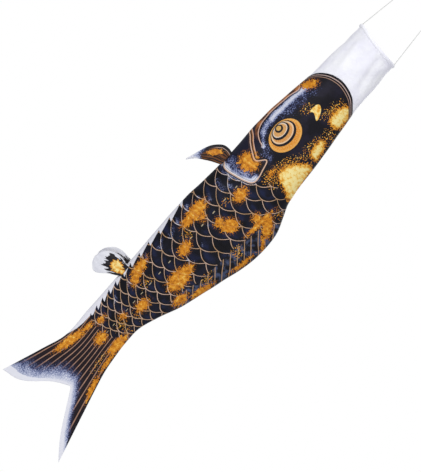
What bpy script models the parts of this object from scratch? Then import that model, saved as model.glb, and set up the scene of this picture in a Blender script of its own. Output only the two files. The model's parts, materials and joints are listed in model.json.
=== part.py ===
"""A carp streamer: a sewn cloth fish on a mouth hoop, hung from a swivel snap hook by a two-legged bridle.

The streamer hangs nose up along Z. The origin is the point where the hook bears on what carries it.
The back of the fish faces +X, the belly faces -X, and the left flank faces -Y.
The fish leans a little, so that its weight hangs straight below the hook.
Distances called "along" run from the middle of the mouth hoop towards the tail, down the fish's axis.
Distances called "across" run from that axis towards the back, square to it in the XZ plane.
"""

import math

import bmesh
import bpy
from mathutils import Matrix, Vector

# ---------------------------------------------------------------- driving dimensions, in metres

FISH_LENGTH = 1.0  # middle of the mouth hoop to the longer tail tip
FISH_HEIGHT = 0.176  # belly to back at the shoulder
FISH_THICKNESS = 0.092  # flank to flank at the shoulder
CLOTH = 0.001  # wall of a sewn panel
SEAM_GAP = 0.0003  # clearance between two pieces that are sewn or seated together

HOOP_HALF_HEIGHT = 0.0488  # chin to nape, half
HOOP_HALF_WIDTH = 0.049  # flank to flank, half
HOOP_WIRE = 0.0012  # radius of the hoop's wire
HOOP_LEAN = 0.0089  # how far the chin end stands ahead of the hoop's middle
HOOP_SAG = 0.006  # how far the hoop's flanks lie behind its two ends
HOOP_SPLIT = 0.0016  # space between the two ends of the wire
JOINER_LENGTH = 0.022
JOINER_WALL = 0.0007
HEM_WALL = 0.0005
HEM_ROOM = 0.0006  # clearance between the joiner and the hem's tunnel

LIP = 0.1184  # where the white sleeve ends and the head begins
HEAD_BEND = 0.392  # hinge line between head and flank
REAR_BEND = 0.574  # hinge line between flank and rear
TAIL_BEND = 0.722  # hinge line between rear and tail
HEAD_SWING = math.radians(18)
REAR_SWING = math.radians(22)
TAIL_SWING = math.radians(28)
SPARE_SWING = math.radians(2.5)  # what a bend's gap opens beyond its swing

CORD = 0.0015  # diameter of the bridle cord
KNOT = 0.0018  # radius of the knot at the lower end of a leg
HITCH_LENGTH = 0.004
HITCH_AT = 0.027  # from the middle of the spreader's bar to a leg
LEG_DROP = 0.1950  # spreader's bar to the middle of the hoop, down Z
HOOP_OFFSET = -0.0037  # middle of the hoop, along X
FISH_LEAN = math.radians(1.6)  # how far the tail stands out towards +X

HOOK_WIRE = 0.0016
HOOK_INSIDE = 0.007  # radius inside the hook's bow
HOOK_REACH = 0.0185  # middle of the bow to the middle of the swivel collar
NOSE_LENGTH = 0.004
NOSE_GAP = 0.0003
COLLAR_RADIUS = 0.0044
COLLAR_HEIGHT = 0.0037
STEM_RADIUS = 0.0016
STEM_HEAD = 0.0032
STEM_HEAD_HEIGHT = 0.0015
SHOULDER_HEIGHT = 0.0017
RUN = 0.0003  # running clearance of a turning joint
EYE_WIRE = 0.0012
EYE_RADIUS = 0.005  # to the middle of the eye's wire
EYE_NECK = 0.0012  # shoulder to the top of the eye's wire circle
PIVOT_DROP = 0.0155  # middle of the bow to the gate's pin
LUG_OUTER = 0.0036
LUG_WIDTH = 0.0009
GATE_RADIUS = 0.0014
GATE_ROOM = 0.0005
CHEEK_WIDTH = 0.0008
CHEEK_HALF = 0.00115  # half the width of a cheek above its boss
CHEEK_BOSS = 0.0019
CHEEK_LAP = 0.0015  # how far a cheek runs up the gate's rod
PIN_RADIUS = 0.0006
PIN_HEAD = 0.0013
SPRING_WIRE = 0.0002

SPREADER_WIRE = 0.0012
SPREADER_HEIGHT = 0.038  # apex corner to the bar's middle line
SPREADER_HALF_ANGLE = math.radians(42.5)
SPREADER_CORNER = 0.0025

FIN_CLOTH = 0.0009
PELVIC_STAGGER = 0.010  # how far the right pelvic fin is sewn ahead of the left

# The outline of the fish: share of its length, then belly, back and flank as shares of its height and thickness.
OUTLINE = (
    (0.1184, -0.326, 0.293, 0.97),
    (0.2410, -0.413, 0.364, 0.97),
    (0.3320, -0.420, 0.415, 1.00),
    (0.3630, -0.424, 0.480, 1.00),
    (0.4010, -0.432, 0.552, 1.00),
    (0.4545, -0.455, 0.549, 0.97),
    (0.5080, -0.467, 0.484, 0.90),
    (0.6150, -0.449, 0.310, 0.62),
    (0.6680, -0.438, 0.179, 0.44),
    (0.7105, -0.437, 0.105, 0.30),
    (0.7487, -0.440, 0.103, 0.22),
    (0.8050, -0.437, 0.137, 0.16),
    (0.8556, -0.530, 0.207, 0.12),
    (1.0000, -0.830, 0.424, 0.065),
)

# The tail's trailing edge: place from belly (-1) to back (1), then share of the length.
TRAILING_EDGE = (
    (-1.00, 0.9380),
    (-0.60, 0.9300),
    (-0.13, 0.8940),
    (0.28, 0.8770),
    (0.37, 0.8780),
    (0.59, 0.9150),
    (0.82, 0.9650),
    (1.00, 1.0000),
)

SIDES = {"left": -1, "right": 1}

MATERIALS = {
    "white_nylon": ((0.86, 0.87, 0.89), 0.55, 0.0),
    "printed_nylon": ((0.03, 0.035, 0.06), 0.45, 0.0),
    "fin_nylon": ((0.10, 0.10, 0.12), 0.5, 0.0),
    "cord": ((0.88, 0.88, 0.88), 0.7, 0.0),
    "hoop_plastic": ((0.80, 0.81, 0.82), 0.35, 0.0),
    "steel": ((0.72, 0.72, 0.74), 0.25, 1.0),
}


# ---------------------------------------------------------------- scene helpers


def clear_scene():
    for item in list(bpy.data.objects):
        bpy.data.objects.remove(item, do_unlink=True)


def material(name):
    """The named material, made the first time that it is asked for."""
    found = bpy.data.materials.get(name)
    if found:
        return found
    colour, roughness, metallic = MATERIALS[name]
    made = bpy.data.materials.new(name)
    made.use_nodes = True
    shader = made.node_tree.nodes["Principled BSDF"]
    shader.inputs["Base Color"].default_value = (*colour, 1.0)
    shader.inputs["Roughness"].default_value = roughness
    shader.inputs["Metallic"].default_value = metallic
    return made


def add_object(name, shape, material_name, origin=(0, 0, 0), smooth=math.radians(40)):
    """Turn a bmesh into an object whose origin lies at the given point."""
    bmesh.ops.recalc_face_normals(shape, faces=shape.faces)
    mesh = bpy.data.meshes.new(name)
    shape.to_mesh(mesh)
    shape.free()
    mesh.transform(Matrix.Translation(-Vector(origin)))
    mesh.shade_smooth()
    mesh.set_sharp_from_angle(angle=smooth)
    mesh.materials.append(material(material_name))
    made = bpy.data.objects.new(name, mesh)
    made.location = origin
    bpy.context.scene.collection.objects.link(made)
    return made


def combine(target, tool, operation="UNION"):
    """Join the tool to the target, or cut it out, and keep the tool as a guide only."""
    step = target.modifiers.new(operation.lower(), "BOOLEAN")
    step.operation = operation
    step.solver = "EXACT"
    step.object = tool
    tool.hide_render = True
    tool.display_type = "WIRE"


# ---------------------------------------------------------------- shape helpers


def smooth_value(table, place, column):
    """Read one column of a table at a place, along a smooth curve through its rows."""
    last = len(table) - 1
    k = max(0, min(last - 1, sum(1 for row in table[1:-1] if row[0] <= place)))
    x0, x1 = table[k][0], table[k + 1][0]
    y0, y1 = table[k][column], table[k + 1][column]
    run = x1 - x0

    def slope(i):
        a, b = max(i - 1, 0), min(i + 1, last)
        return (table[b][column] - table[a][column]) / (table[b][0] - table[a][0])

    t = (place - x0) / run
    start, end = slope(k) * run, slope(k + 1) * run
    return (
        (2 * t**3 - 3 * t**2 + 1) * y0
        + (t**3 - 2 * t**2 + t) * start
        + (3 * t**2 - 2 * t**3) * y1
        + (t**3 - t**2) * end
    )


def section(along):
    """The fish's cross-section at a distance along it: its middle, half height and half thickness."""
    share = along / FISH_LENGTH
    lip_share = OUTLINE[0][0]
    belly, back, flank = (smooth_value(OUTLINE, max(share, lip_share), c) for c in (1, 2, 3))
    middle = (belly + back) / 2 * FISH_HEIGHT
    height = (back - belly) / 2 * FISH_HEIGHT
    depth = flank * FISH_THICKNESS / 2
    if share < lip_share:
        towards_lip = max(along, 0) / (lip_share * FISH_LENGTH)
        middle *= towards_lip
        height = HOOP_HALF_HEIGHT + (height - HOOP_HALF_HEIGHT) * towards_lip
        depth = HOOP_HALF_WIDTH + (depth - HOOP_HALF_WIDTH) * towards_lip
    return middle, height, depth


def place(along, across, out):
    """A point of the fish in the streamer's own frame."""
    return HOOP_MIDDLE + along * TAILWARD + across * BACKWARD + Vector((0, out, 0))


def skin(along, angle, side, inset=0.0):
    """A point on a panel: angle runs from the belly seam (-90 degrees) to the back seam (90)."""
    middle, height, depth = section(along)
    across = middle + (height - inset) * math.sin(angle)
    out = side * (SEAM_GAP / 2 + (depth - inset) * max(math.cos(angle), 0.0))
    return place(along, across, out)


def hoop_point(turn):
    """The middle of the hoop's wire: turn 0 is the nape and half a turn is the chin."""
    along = HOOP_LEAN * math.cos(turn) + HOOP_SAG * math.sin(turn) ** 2
    return place(along, HOOP_HALF_HEIGHT * math.cos(turn), HOOP_HALF_WIDTH * math.sin(turn))


def ring_of(centre, tangent, upright, radius, sides):
    """Points round a wire of the given radius at one place on its path."""
    first = (upright - tangent * upright.dot(tangent)).normalized()
    second = tangent.cross(first)
    return [
        centre + radius * (math.cos(a) * first + math.sin(a) * second)
        for a in (2 * math.pi * i / sides for i in range(sides))
    ]


def tangents(path, closed):
    count = len(path)
    found = []
    for i in range(count):
        before = path[(i - 1) % count] if closed or i > 0 else path[i]
        after = path[(i + 1) % count] if closed or i < count - 1 else path[i]
        found.append((after - before).normalized())
    return found


def join_rings(shape, rings, closed):
    pairs = zip(rings, rings[1:] + rings[:1]) if closed else zip(rings, rings[1:])
    for a, b in pairs:
        for i in range(len(a)):
            j = (i + 1) % len(a)
            shape.faces.new((a[i], a[j], b[j], b[i]))


def swept_wire(path, radius, upright, sides=10, closed=False):
    """A round wire along a path, capped where the path is open."""
    shape = bmesh.new()
    rings = [
        [shape.verts.new(p) for p in ring_of(c, t, upright, radius, sides)]
        for c, t in zip(path, tangents(path, closed))
    ]
    join_rings(shape, rings, closed)
    if not closed:
        shape.faces.new(rings[0])
        shape.faces.new(rings[-1])
    return shape


def swept_tube(path, outer, inner, upright, sides=10):
    """A hollow tube along an open path, open at both ends."""
    shape = bmesh.new()
    walls = []
    for radius in (outer, inner):
        rings = [
            [shape.verts.new(p) for p in ring_of(c, t, upright, radius, sides)]
            for c, t in zip(path, tangents(path, False))
        ]
        join_rings(shape, rings, False)
        walls.append(rings)
    for end in (0, -1):
        a, b = walls[0][end], walls[1][end]
        for i in range(sides):
            j = (i + 1) % sides
            shape.faces.new((a[i], a[j], b[j], b[i]))
    return shape


def turned(profile, sides=16, closed=False):
    """A solid turned about Z from (radius, height) points; a closed profile makes a ring."""
    shape = bmesh.new()
    verts = [shape.verts.new((r, 0, z)) for r, z in profile]
    pairs = zip(verts, verts[1:] + verts[:1]) if closed else zip(verts, verts[1:])
    edges = [shape.edges.new(pair) for pair in pairs]
    bmesh.ops.spin(
        shape,
        geom=verts + edges,
        cent=(0, 0, 0),
        axis=(0, 0, 1),
        angle=2 * math.pi,
        steps=sides,
        use_merge=True,
    )
    bmesh.ops.remove_doubles(shape, verts=shape.verts, dist=1e-7)
    return shape


def moved(shape, location, turn=None):
    """Turn a shape about the origin and then move it."""
    matrix = Matrix.Translation(Vector(location)) @ (turn or Matrix())
    bmesh.ops.transform(shape, matrix=matrix, verts=shape.verts)
    return shape


ACROSS_Y = Matrix.Rotation(math.radians(90), 4, "X")
ACROSS_X = Matrix.Rotation(math.radians(90), 4, "Y")


def donut(middle, wire, sides=16, wire_sides=8):
    circle = [
        (middle + wire * math.cos(a), wire * math.sin(a))
        for a in (2 * math.pi * i / wire_sides for i in range(wire_sides))
    ]
    return turned(circle, sides, closed=True)


def washer(outer, inner, height, sides=16):
    half = height / 2
    corners = [(inner, -half), (outer, -half), (outer, half), (inner, half)]
    return turned(corners, sides, closed=True)


def disc(radius, height, sides=16):
    half = height / 2
    return turned([(0, -half), (radius, -half), (radius, half), (0, half)], sides)


def upright_plate(outline, width, middle):
    """A flat plate that stands in the XZ plane, from (x, z) points, with its middle at the given y."""
    shape = bmesh.new()
    near = [shape.verts.new((x, middle - width / 2, z)) for x, z in outline]
    face = shape.faces.new(near)
    grown = bmesh.ops.extrude_face_region(shape, geom=[face])
    far = [v for v in grown["geom"] if isinstance(v, bmesh.types.BMVert)]
    bmesh.ops.translate(shape, verts=far, vec=(0, width, 0))
    return shape


def cloth_panel(rows, columns, outside, inside):
    """A closed shell between two grids of points; outside and inside map (row, column) to a point."""
    shape = bmesh.new()
    grids = []
    for point in (outside, inside):
        grid = [[shape.verts.new(point(r, c)) for c in range(columns + 1)] for r in range(rows + 1)]
        for r in range(rows):
            for c in range(columns):
                corners = (grid[r][c], grid[r][c + 1], grid[r + 1][c + 1], grid[r + 1][c])
                shape.faces.new(corners)
        grids.append(grid)
    out, back = grids
    for r in range(rows):
        for c in (0, columns):
            shape.faces.new((out[r][c], out[r + 1][c], back[r + 1][c], back[r][c]))
    for c in range(columns):
        for r in (0, rows):
            shape.faces.new((out[r][c], out[r][c + 1], back[r][c + 1], back[r][c]))
    return shape


# ---------------------------------------------------------------- worked-out places

BOW_Z = -HOOK_INSIDE  # middle of the hook's bow; the origin lies inside the bow's top
BOW_RADIUS = HOOK_INSIDE + HOOK_WIRE
COLLAR_Z = BOW_Z - HOOK_REACH - HOOK_WIRE
COLLAR_TOP = COLLAR_Z + COLLAR_HEIGHT / 2
COLLAR_FOOT = COLLAR_Z - COLLAR_HEIGHT / 2
SHOULDER_FOOT = COLLAR_FOOT - RUN - SHOULDER_HEIGHT
EYE_Z = SHOULDER_FOOT - EYE_NECK - EYE_RADIUS
EYE_SEAT_Z = EYE_Z - EYE_RADIUS  # the spreader swings about this point of the eye's wire
APEX_BEND = EYE_WIRE + RUN + SPREADER_WIRE
APEX_Z = EYE_SEAT_Z + APEX_BEND / math.sin(SPREADER_HALF_ANGLE)
BAR_Z = APEX_Z - SPREADER_HEIGHT
HOOP_MIDDLE = Vector((HOOP_OFFSET, 0, BAR_Z - LEG_DROP))
TAILWARD = Vector((math.sin(FISH_LEAN), 0, -math.cos(FISH_LEAN)))
BACKWARD = Vector((math.cos(FISH_LEAN), 0, math.sin(FISH_LEAN)))
HITCH_RADIUS = SPREADER_WIRE + RUN + CORD
LOOP_RADIUS = HOOP_WIRE + RUN + CORD / 2
JOINER_RADIUS = HOOP_WIRE + SEAM_GAP + JOINER_WALL
HEM_INSIDE = JOINER_RADIUS + HEM_ROOM
HEM_RADIUS = HEM_INSIDE + HEM_WALL
PIVOT = Vector((-BOW_RADIUS, 0, BOW_Z - PIVOT_DROP))
LUG_MIDDLE = -0.00035  # the lug sits to one side, and the spring fills the other
PIN_HOLE = PIN_RADIUS + RUN


# ---------------------------------------------------------------- hook and swivel


def hook_path():
    """Nose, bow, spine and foot of the hook, in the XZ plane."""
    path = [Vector((-BOW_RADIUS, 0, BOW_Z - NOSE_LENGTH))]
    for i in range(13):
        turn = math.pi * (1 - i / 12)
        path.append(Vector((BOW_RADIUS * math.cos(turn), 0, BOW_Z + BOW_RADIUS * math.sin(turn))))
    corner = BOW_RADIUS * 0.55
    path.append(Vector((BOW_RADIUS, 0, COLLAR_Z + corner + 0.004)))
    for i in range(5):
        turn = math.radians(-90 * i / 4)
        path.append(
            Vector((BOW_RADIUS - corner + corner * math.cos(turn), 0, COLLAR_Z + corner + corner * math.sin(turn)))
        )
    return path


def foot_path():
    """The short arm from the collar to the gate's lug."""
    reach = (STEM_RADIUS + RUN + COLLAR_RADIUS) / 2
    start = Vector((-reach, 0, COLLAR_Z))
    end = PIVOT
    bend = Vector((end.x, 0, start.z))
    shares = [i / 6 for i in range(7)]
    return [(1 - t) ** 2 * start + 2 * t * (1 - t) * bend + t**2 * end for t in shares]


def build_hook():
    spine = hook_path()
    reach = (STEM_RADIUS + RUN + COLLAR_RADIUS) / 2
    spine.append(Vector((reach, 0, COLLAR_Z)))
    hook = add_object("snap_hook", swept_wire(spine, HOOK_WIRE, Vector((0, 1, 0))), "steel")
    collar = moved(washer(COLLAR_RADIUS, STEM_RADIUS + RUN, COLLAR_HEIGHT), (0, 0, COLLAR_Z))
    combine(hook, add_object("guide_collar", collar, "steel"))
    foot = swept_wire(foot_path(), HOOK_WIRE, Vector((0, 1, 0)))
    combine(hook, add_object("guide_foot", foot, "steel"))
    room = moved(disc(LUG_OUTER - GATE_ROOM, 4 * HOOK_WIRE), PIVOT, ACROSS_Y)
    combine(hook, add_object("guide_lug_room", room, "steel"), "DIFFERENCE")
    lug = moved(washer(LUG_OUTER, PIN_HOLE, LUG_WIDTH), PIVOT + Vector((0, LUG_MIDDLE, 0)), ACROSS_Y)
    combine(hook, add_object("guide_lug", lug, "steel"))


def cheek_outline(top):
    """A cheek seen from its side: a round boss about the pin, with a neck up to the rod."""
    shoulder = math.acos(CHEEK_HALF / CHEEK_BOSS)
    turns = [shoulder - i / 12 * (math.pi + 2 * shoulder) for i in range(13)]
    boss = [(PIVOT.x + CHEEK_BOSS * math.cos(a), PIVOT.z + CHEEK_BOSS * math.sin(a)) for a in turns]
    return [*boss, (PIVOT.x - CHEEK_HALF, top), (PIVOT.x + CHEEK_HALF, top)]


def build_gate():
    """The sprung gate: a rod with two cheeks round the hook's lug."""
    foot = PIVOT.z + LUG_OUTER + GATE_ROOM
    top = BOW_Z - NOSE_LENGTH - NOSE_GAP
    rod = swept_wire(
        [Vector((PIVOT.x, 0, z)) for z in (foot, (foot + top) / 2, top)],
        GATE_RADIUS,
        Vector((0, 1, 0)),
    )
    gate = add_object("gate", rod, "steel", origin=PIVOT)
    spring_room = 2 * SPRING_WIRE + RUN
    low = LUG_MIDDLE - LUG_WIDTH / 2 - RUN
    high = LUG_MIDDLE + LUG_WIDTH / 2 + RUN + spring_room
    for name, inner, outward in (("near", low, -1), ("far", high, 1)):
        middle = inner + outward * CHEEK_WIDTH / 2
        cheek = upright_plate(cheek_outline(foot + CHEEK_LAP), CHEEK_WIDTH, middle)
        combine(gate, add_object("guide_cheek_" + name, cheek, "steel"))
    hole = moved(disc(PIN_HOLE, 8 * HOOK_WIRE), PIVOT, ACROSS_Y)
    combine(gate, add_object("guide_pin_hole", hole, "steel"), "DIFFERENCE")
    build_gate_pin(low - CHEEK_WIDTH, high + CHEEK_WIDTH)
    spring = donut(PIN_HOLE + SPRING_WIRE + 0.00005, SPRING_WIRE, 16, 6)
    spring_at = (PIVOT.x, (LUG_MIDDLE + LUG_WIDTH / 2 + high) / 2, PIVOT.z)
    add_object("gate_spring", moved(spring, spring_at, ACROSS_Y), "steel", origin=PIVOT)


def build_gate_pin(low, high):
    """A rivet through the cheeks, with a head at each end."""
    cap = 0.0005
    profile = [
        (0, low - RUN - cap),
        (PIN_HEAD, low - RUN - cap),
        (PIN_HEAD, low - RUN),
        (PIN_RADIUS, low - RUN),
        (PIN_RADIUS, high + RUN),
        (PIN_HEAD, high + RUN),
        (PIN_HEAD, high + RUN + cap),
        (0, high + RUN + cap),
    ]
    turn = Matrix.Rotation(math.radians(-90), 4, "X")
    add_object("gate_pin", moved(turned(profile), PIVOT, turn), "steel", origin=PIVOT)


def build_swivel():
    """The stem that turns in the hook's collar, and the eye under it."""
    head_foot = COLLAR_TOP + RUN
    profile = [
        (0, head_foot + STEM_HEAD_HEIGHT),
        (STEM_HEAD, head_foot + STEM_HEAD_HEIGHT),
        (STEM_HEAD, head_foot),
        (STEM_RADIUS, head_foot),
        (STEM_RADIUS, COLLAR_FOOT - RUN),
        (STEM_HEAD, COLLAR_FOOT - RUN),
        (STEM_HEAD, SHOULDER_FOOT),
        (STEM_RADIUS, SHOULDER_FOOT - EYE_NECK / 2),
        (STEM_RADIUS, SHOULDER_FOOT - EYE_NECK),
        (0, SHOULDER_FOOT - EYE_NECK),
    ]
    swivel = add_object("swivel_eye", turned(profile[::-1]), "steel")
    eye = moved(donut(EYE_RADIUS, EYE_WIRE, 20), (0, 0, EYE_Z), ACROSS_X)
    combine(swivel, add_object("guide_eye", eye, "steel"))


# ---------------------------------------------------------------- bridle


def corner_arc(corner, before, after, radius, steps):
    """An arc of the given radius that rounds the corner between two straight runs."""
    a, b = (before - corner).normalized(), (after - corner).normalized()
    half = a.angle(b) / 2
    centre = corner + (a + b).normalized() * radius / math.sin(half)
    start = corner + a * radius / math.tan(half) - centre
    swing = math.pi - 2 * half
    axis = start.cross(corner + b * radius / math.tan(half) - centre).normalized()
    return [centre + Matrix.Rotation(swing * i / steps, 3, axis) @ start for i in range(steps + 1)]


def build_spreader():
    """The three-sided ring that hangs in the swivel's eye and carries a leg at each end of its bar."""
    half = SPREADER_HEIGHT * math.tan(SPREADER_HALF_ANGLE)
    apex = Vector((0, 0, APEX_Z))
    chin, nape = Vector((-half, 0, BAR_Z)), Vector((half, 0, BAR_Z))
    path = corner_arc(apex, chin, nape, APEX_BEND, 6)
    path += corner_arc(nape, apex, chin, SPREADER_CORNER, 5)
    path += corner_arc(chin, nape, apex, SPREADER_CORNER, 5)
    shape = swept_wire(path, SPREADER_WIRE, Vector((0, 1, 0)), 10, closed=True)
    add_object("bridle_spreader", shape, "steel", origin=(0, 0, EYE_SEAT_Z))


def build_leg(end, sign, turn):
    """One leg of the bridle: hitch, cord, knot, and the loop round the hoop."""
    top = Vector((sign * HITCH_AT, 0, BAR_Z))
    seat = hoop_point(turn)
    down = (seat - top).normalized()
    hitch = moved(washer(HITCH_RADIUS, SPREADER_WIRE + RUN, HITCH_LENGTH), top, ACROSS_X)
    add_object("hitch_" + end, hitch, "cord", origin=top)
    loop = moved(donut(LOOP_RADIUS, CORD / 2, 14), seat, ACROSS_Y)
    add_object("hoop_loop_" + end, loop, "cord", origin=seat)
    knot_middle = seat - down * (LOOP_RADIUS + CORD / 2 + SEAM_GAP + KNOT)
    knot = bmesh.new()
    bmesh.ops.create_uvsphere(knot, u_segments=12, v_segments=8, radius=KNOT)
    lay = down.to_track_quat("Z", "Y").to_matrix().to_4x4()
    add_object("knot_" + end, moved(knot, knot_middle, lay), "cord", origin=seat)
    start = top + down * (HITCH_RADIUS + SEAM_GAP)
    finish = knot_middle - down * (KNOT + SEAM_GAP)
    add_cord("bridle_cord_" + end, start, finish)


def add_cord(name, start, finish):
    """A taut cord between two points, with a point every three diameters or so."""
    count = math.ceil((finish - start).length / (3.4 * CORD)) + 1
    curve = bpy.data.curves.new(name, "CURVE")
    curve.dimensions = "3D"
    curve.bevel_depth = CORD / 2
    curve.bevel_resolution = 2
    curve.use_fill_caps = True
    line = curve.splines.new("POLY")
    line.points.add(count - 1)
    for i, point in enumerate(line.points):
        point.co = (*start.lerp(finish, i / (count - 1)), 1.0)
    curve.materials.append(material("cord"))
    cord = bpy.data.objects.new(name, curve)
    bpy.context.scene.collection.objects.link(cord)


# ---------------------------------------------------------------- mouth


def hoop_arc(start, end, count):
    return [hoop_point(start + (end - start) * i / count) for i in range(count + 1)]


def build_mouth():
    """The wire hoop, its joiner, the hem that holds it and the white sleeve behind it."""
    joiner_turn = math.radians(-60)
    split = HOOP_SPLIT / HOOP_HALF_WIDTH / 2
    wire = hoop_arc(joiner_turn + split, joiner_turn + 2 * math.pi - split, 56)
    upright = -TAILWARD
    add_object("mouth_hoop", swept_wire(wire, HOOP_WIRE, upright, 8), "hoop_plastic")
    half = JOINER_LENGTH / HOOP_HALF_WIDTH / 2
    joiner = hoop_arc(joiner_turn - half, joiner_turn + half, 8)
    shape = swept_tube(joiner, JOINER_RADIUS, HOOP_WIRE + SEAM_GAP, upright)
    add_object("hoop_joiner", shape, "hoop_plastic")
    end_room = (LOOP_RADIUS + CORD / 2 + SEAM_GAP + KNOT) / HOOP_HALF_WIDTH
    for name, side in SIDES.items():
        arc = hoop_arc(side * end_room, side * (math.pi - end_room), 20)
        hem = swept_tube(arc, HEM_RADIUS, HEM_INSIDE, upright, 8)
        add_object("mouth_hem_" + name, hem, "white_nylon")
        add_sleeve(name, side)


def add_sleeve(name, side):
    rows, columns = 5, 12

    def point(r, c, inset):
        angle = math.radians(-90 + 180 * c / columns)
        front = HOOP_LEAN * math.sin(angle) + HOOP_SAG * math.cos(angle) ** 2
        front += HEM_RADIUS + SEAM_GAP
        rear = LIP * FISH_LENGTH - SEAM_GAP / 2
        return skin(front + (rear - front) * r / rows, angle, side, inset)

    shape = cloth_panel(rows, columns, lambda r, c: point(r, c, 0), lambda r, c: point(r, c, CLOTH))
    add_object("mouth_sleeve_" + name, shape, "white_nylon")


# ---------------------------------------------------------------- body panels


def bend_edge(bend, swing, angle, towards):
    """Where a panel ends beside a hinge line: further back the further it is from the hinge."""
    depth = section(bend * FISH_LENGTH)[2] * max(math.cos(angle), 0.0)
    room = SEAM_GAP / 2 + depth * math.tan(swing / 2 + SPARE_SWING)
    return bend * FISH_LENGTH + towards * room


def add_body_panel(part, name, side, front_edge, rear_edge, rows, columns=12):
    def point(r, c, inset):
        angle = math.radians(-90 + 180 * c / columns)
        front, rear = front_edge(angle), rear_edge(angle)
        return skin(front + (rear - front) * r / rows, angle, side, inset)

    shape = cloth_panel(rows, columns, lambda r, c: point(r, c, 0), lambda r, c: point(r, c, CLOTH))
    add_object(part + "_" + name, shape, "printed_nylon")


def build_body():
    """Head, flank, rear and tail, each a left and a right panel that meet at the seams."""

    def lip(angle):
        return LIP * FISH_LENGTH + SEAM_GAP / 2

    def trailing(angle):
        return smooth_value(TRAILING_EDGE, math.sin(angle), 1) * FISH_LENGTH

    def edge(bend, swing, towards):
        return lambda angle: bend_edge(bend, swing, angle, towards)

    for name, side in SIDES.items():
        head_rear = edge(HEAD_BEND, HEAD_SWING, -1)
        add_body_panel("head_panel", name, side, lip, head_rear, 9)
        flank_front = edge(HEAD_BEND, HEAD_SWING, 1)
        flank_rear = edge(REAR_BEND, REAR_SWING, -1)
        add_body_panel("flank_panel", name, side, flank_front, flank_rear, 6)
        rear_front = edge(REAR_BEND, REAR_SWING, 1)
        rear_rear = edge(TAIL_BEND, TAIL_SWING, -1)
        add_body_panel("rear_panel", name, side, rear_front, rear_rear, 6)
        tail_front = edge(TAIL_BEND, TAIL_SWING, 1)
        add_body_panel("tail_panel", name, side, tail_front, trailing, 8, 16)


# ---------------------------------------------------------------- fins

# A fin's outline: along its root, then out from the root, in metres.
PECTORAL = (
    (-0.015, 0.0),
    (-0.017, 0.010),
    (-0.015, 0.022),
    (-0.006, 0.033),
    (0.005, 0.041),
    (0.020, 0.047),
    (0.036, 0.052),
    (0.053, 0.057),
    (0.045, 0.050),
    (0.037, 0.042),
    (0.024, 0.020),
    (0.015, 0.0),
)
PELVIC = (
    (-0.012, 0.0),
    (-0.014, 0.016),
    (-0.0155, 0.032),
    (-0.009, 0.054),
    (0.003, 0.065),
    (0.016, 0.068),
    (0.029, 0.064),
    (0.039, 0.052),
    (0.034, 0.040),
    (0.025, 0.027),
    (0.013, 0.0),
)


def fin_frame(along, angle, side, root_run, reach):
    """Root point, root direction and reach of a fin sewn to a flank.

    root_run is the root's direction as (along, angle) steps on the skin, and reach is the fin's own
    direction as (along, across, out). The root lies along the skin, a seam's clearance off it.
    """
    root = skin(along, angle, side)
    step = 0.02
    ahead = skin(along + step * root_run[0], angle + step * root_run[1], side)
    behind = skin(along - step * root_run[0], angle - step * root_run[1], side)
    run = (ahead - behind).normalized()
    aside = skin(along, angle + 0.02, side) - skin(along, angle - 0.02, side)
    down = skin(along + 0.002, angle, side) - skin(along - 0.002, angle, side)
    outward = aside.cross(down).normalized()
    if outward.y * side < 0:
        outward = -outward
    towards = reach[0] * TAILWARD + reach[1] * BACKWARD + Vector((0, side * reach[2], 0))
    towards = (towards - run * towards.dot(run)).normalized()
    return root + outward * (SEAM_GAP + FIN_CLOTH / 2), run, towards


def add_fin(name, outline, frame):
    root, run, towards = frame
    normal = run.cross(towards).normalized()
    shape = bmesh.new()
    faces = []
    for lift in (-FIN_CLOTH / 2, FIN_CLOTH / 2):
        verts = [shape.verts.new(root + run * a + towards * b + normal * lift) for a, b in outline]
        faces.append(verts)
        shape.faces.new(verts)
    for i in range(len(outline)):
        j = (i + 1) % len(outline)
        shape.faces.new((faces[0][i], faces[0][j], faces[1][j], faces[1][i]))
    add_object(name, shape, "fin_nylon", origin=root)


def pectoral_frame(side):
    """The pectoral fin's root runs along the belly, below the gill plate's rear edge."""
    return fin_frame(0.352 * FISH_LENGTH, math.radians(-72), side, (0.5, 0.0), (0.0, -1.0, 0.02))


def pelvic_frame(side):
    """The pelvic fin's root runs along the belly, ahead of the tail."""
    ahead = PELVIC_STAGGER if side > 0 else 0.0
    return fin_frame(0.641 * FISH_LENGTH - ahead, math.radians(-66), side, (0.5, 0.0), (0.0, -1.0, 0.0))


def build_fins():
    for name, side in SIDES.items():
        add_fin("pectoral_fin_" + name, PECTORAL, pectoral_frame(side))
        add_fin("pelvic_fin_" + name, PELVIC, pelvic_frame(side))


def main():
    clear_scene()
    build_hook()
    build_gate()
    build_swivel()
    build_spreader()
    build_leg("chin", -1, math.pi)
    build_leg("nape", 1, 0.0)
    build_mouth()
    build_body()
    build_fins()


main()
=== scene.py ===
"""Dress the carp streamer: printed nylon skins, mouth sleeve, fins, bridle cords and steel fittings.

Distances called "along" run from the middle of the mouth hoop towards the tail, and "across" from the
fish's axis towards its back. Both are in metres, and the print's own plan is drawn in millimetres.
"""

from __future__ import annotations

import json
import logging
import math
from dataclasses import dataclass, field
from enum import Enum
from typing import Callable, Sequence

import bmesh
import bpy
import numpy as np
from mathutils import Matrix, Vector

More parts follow.
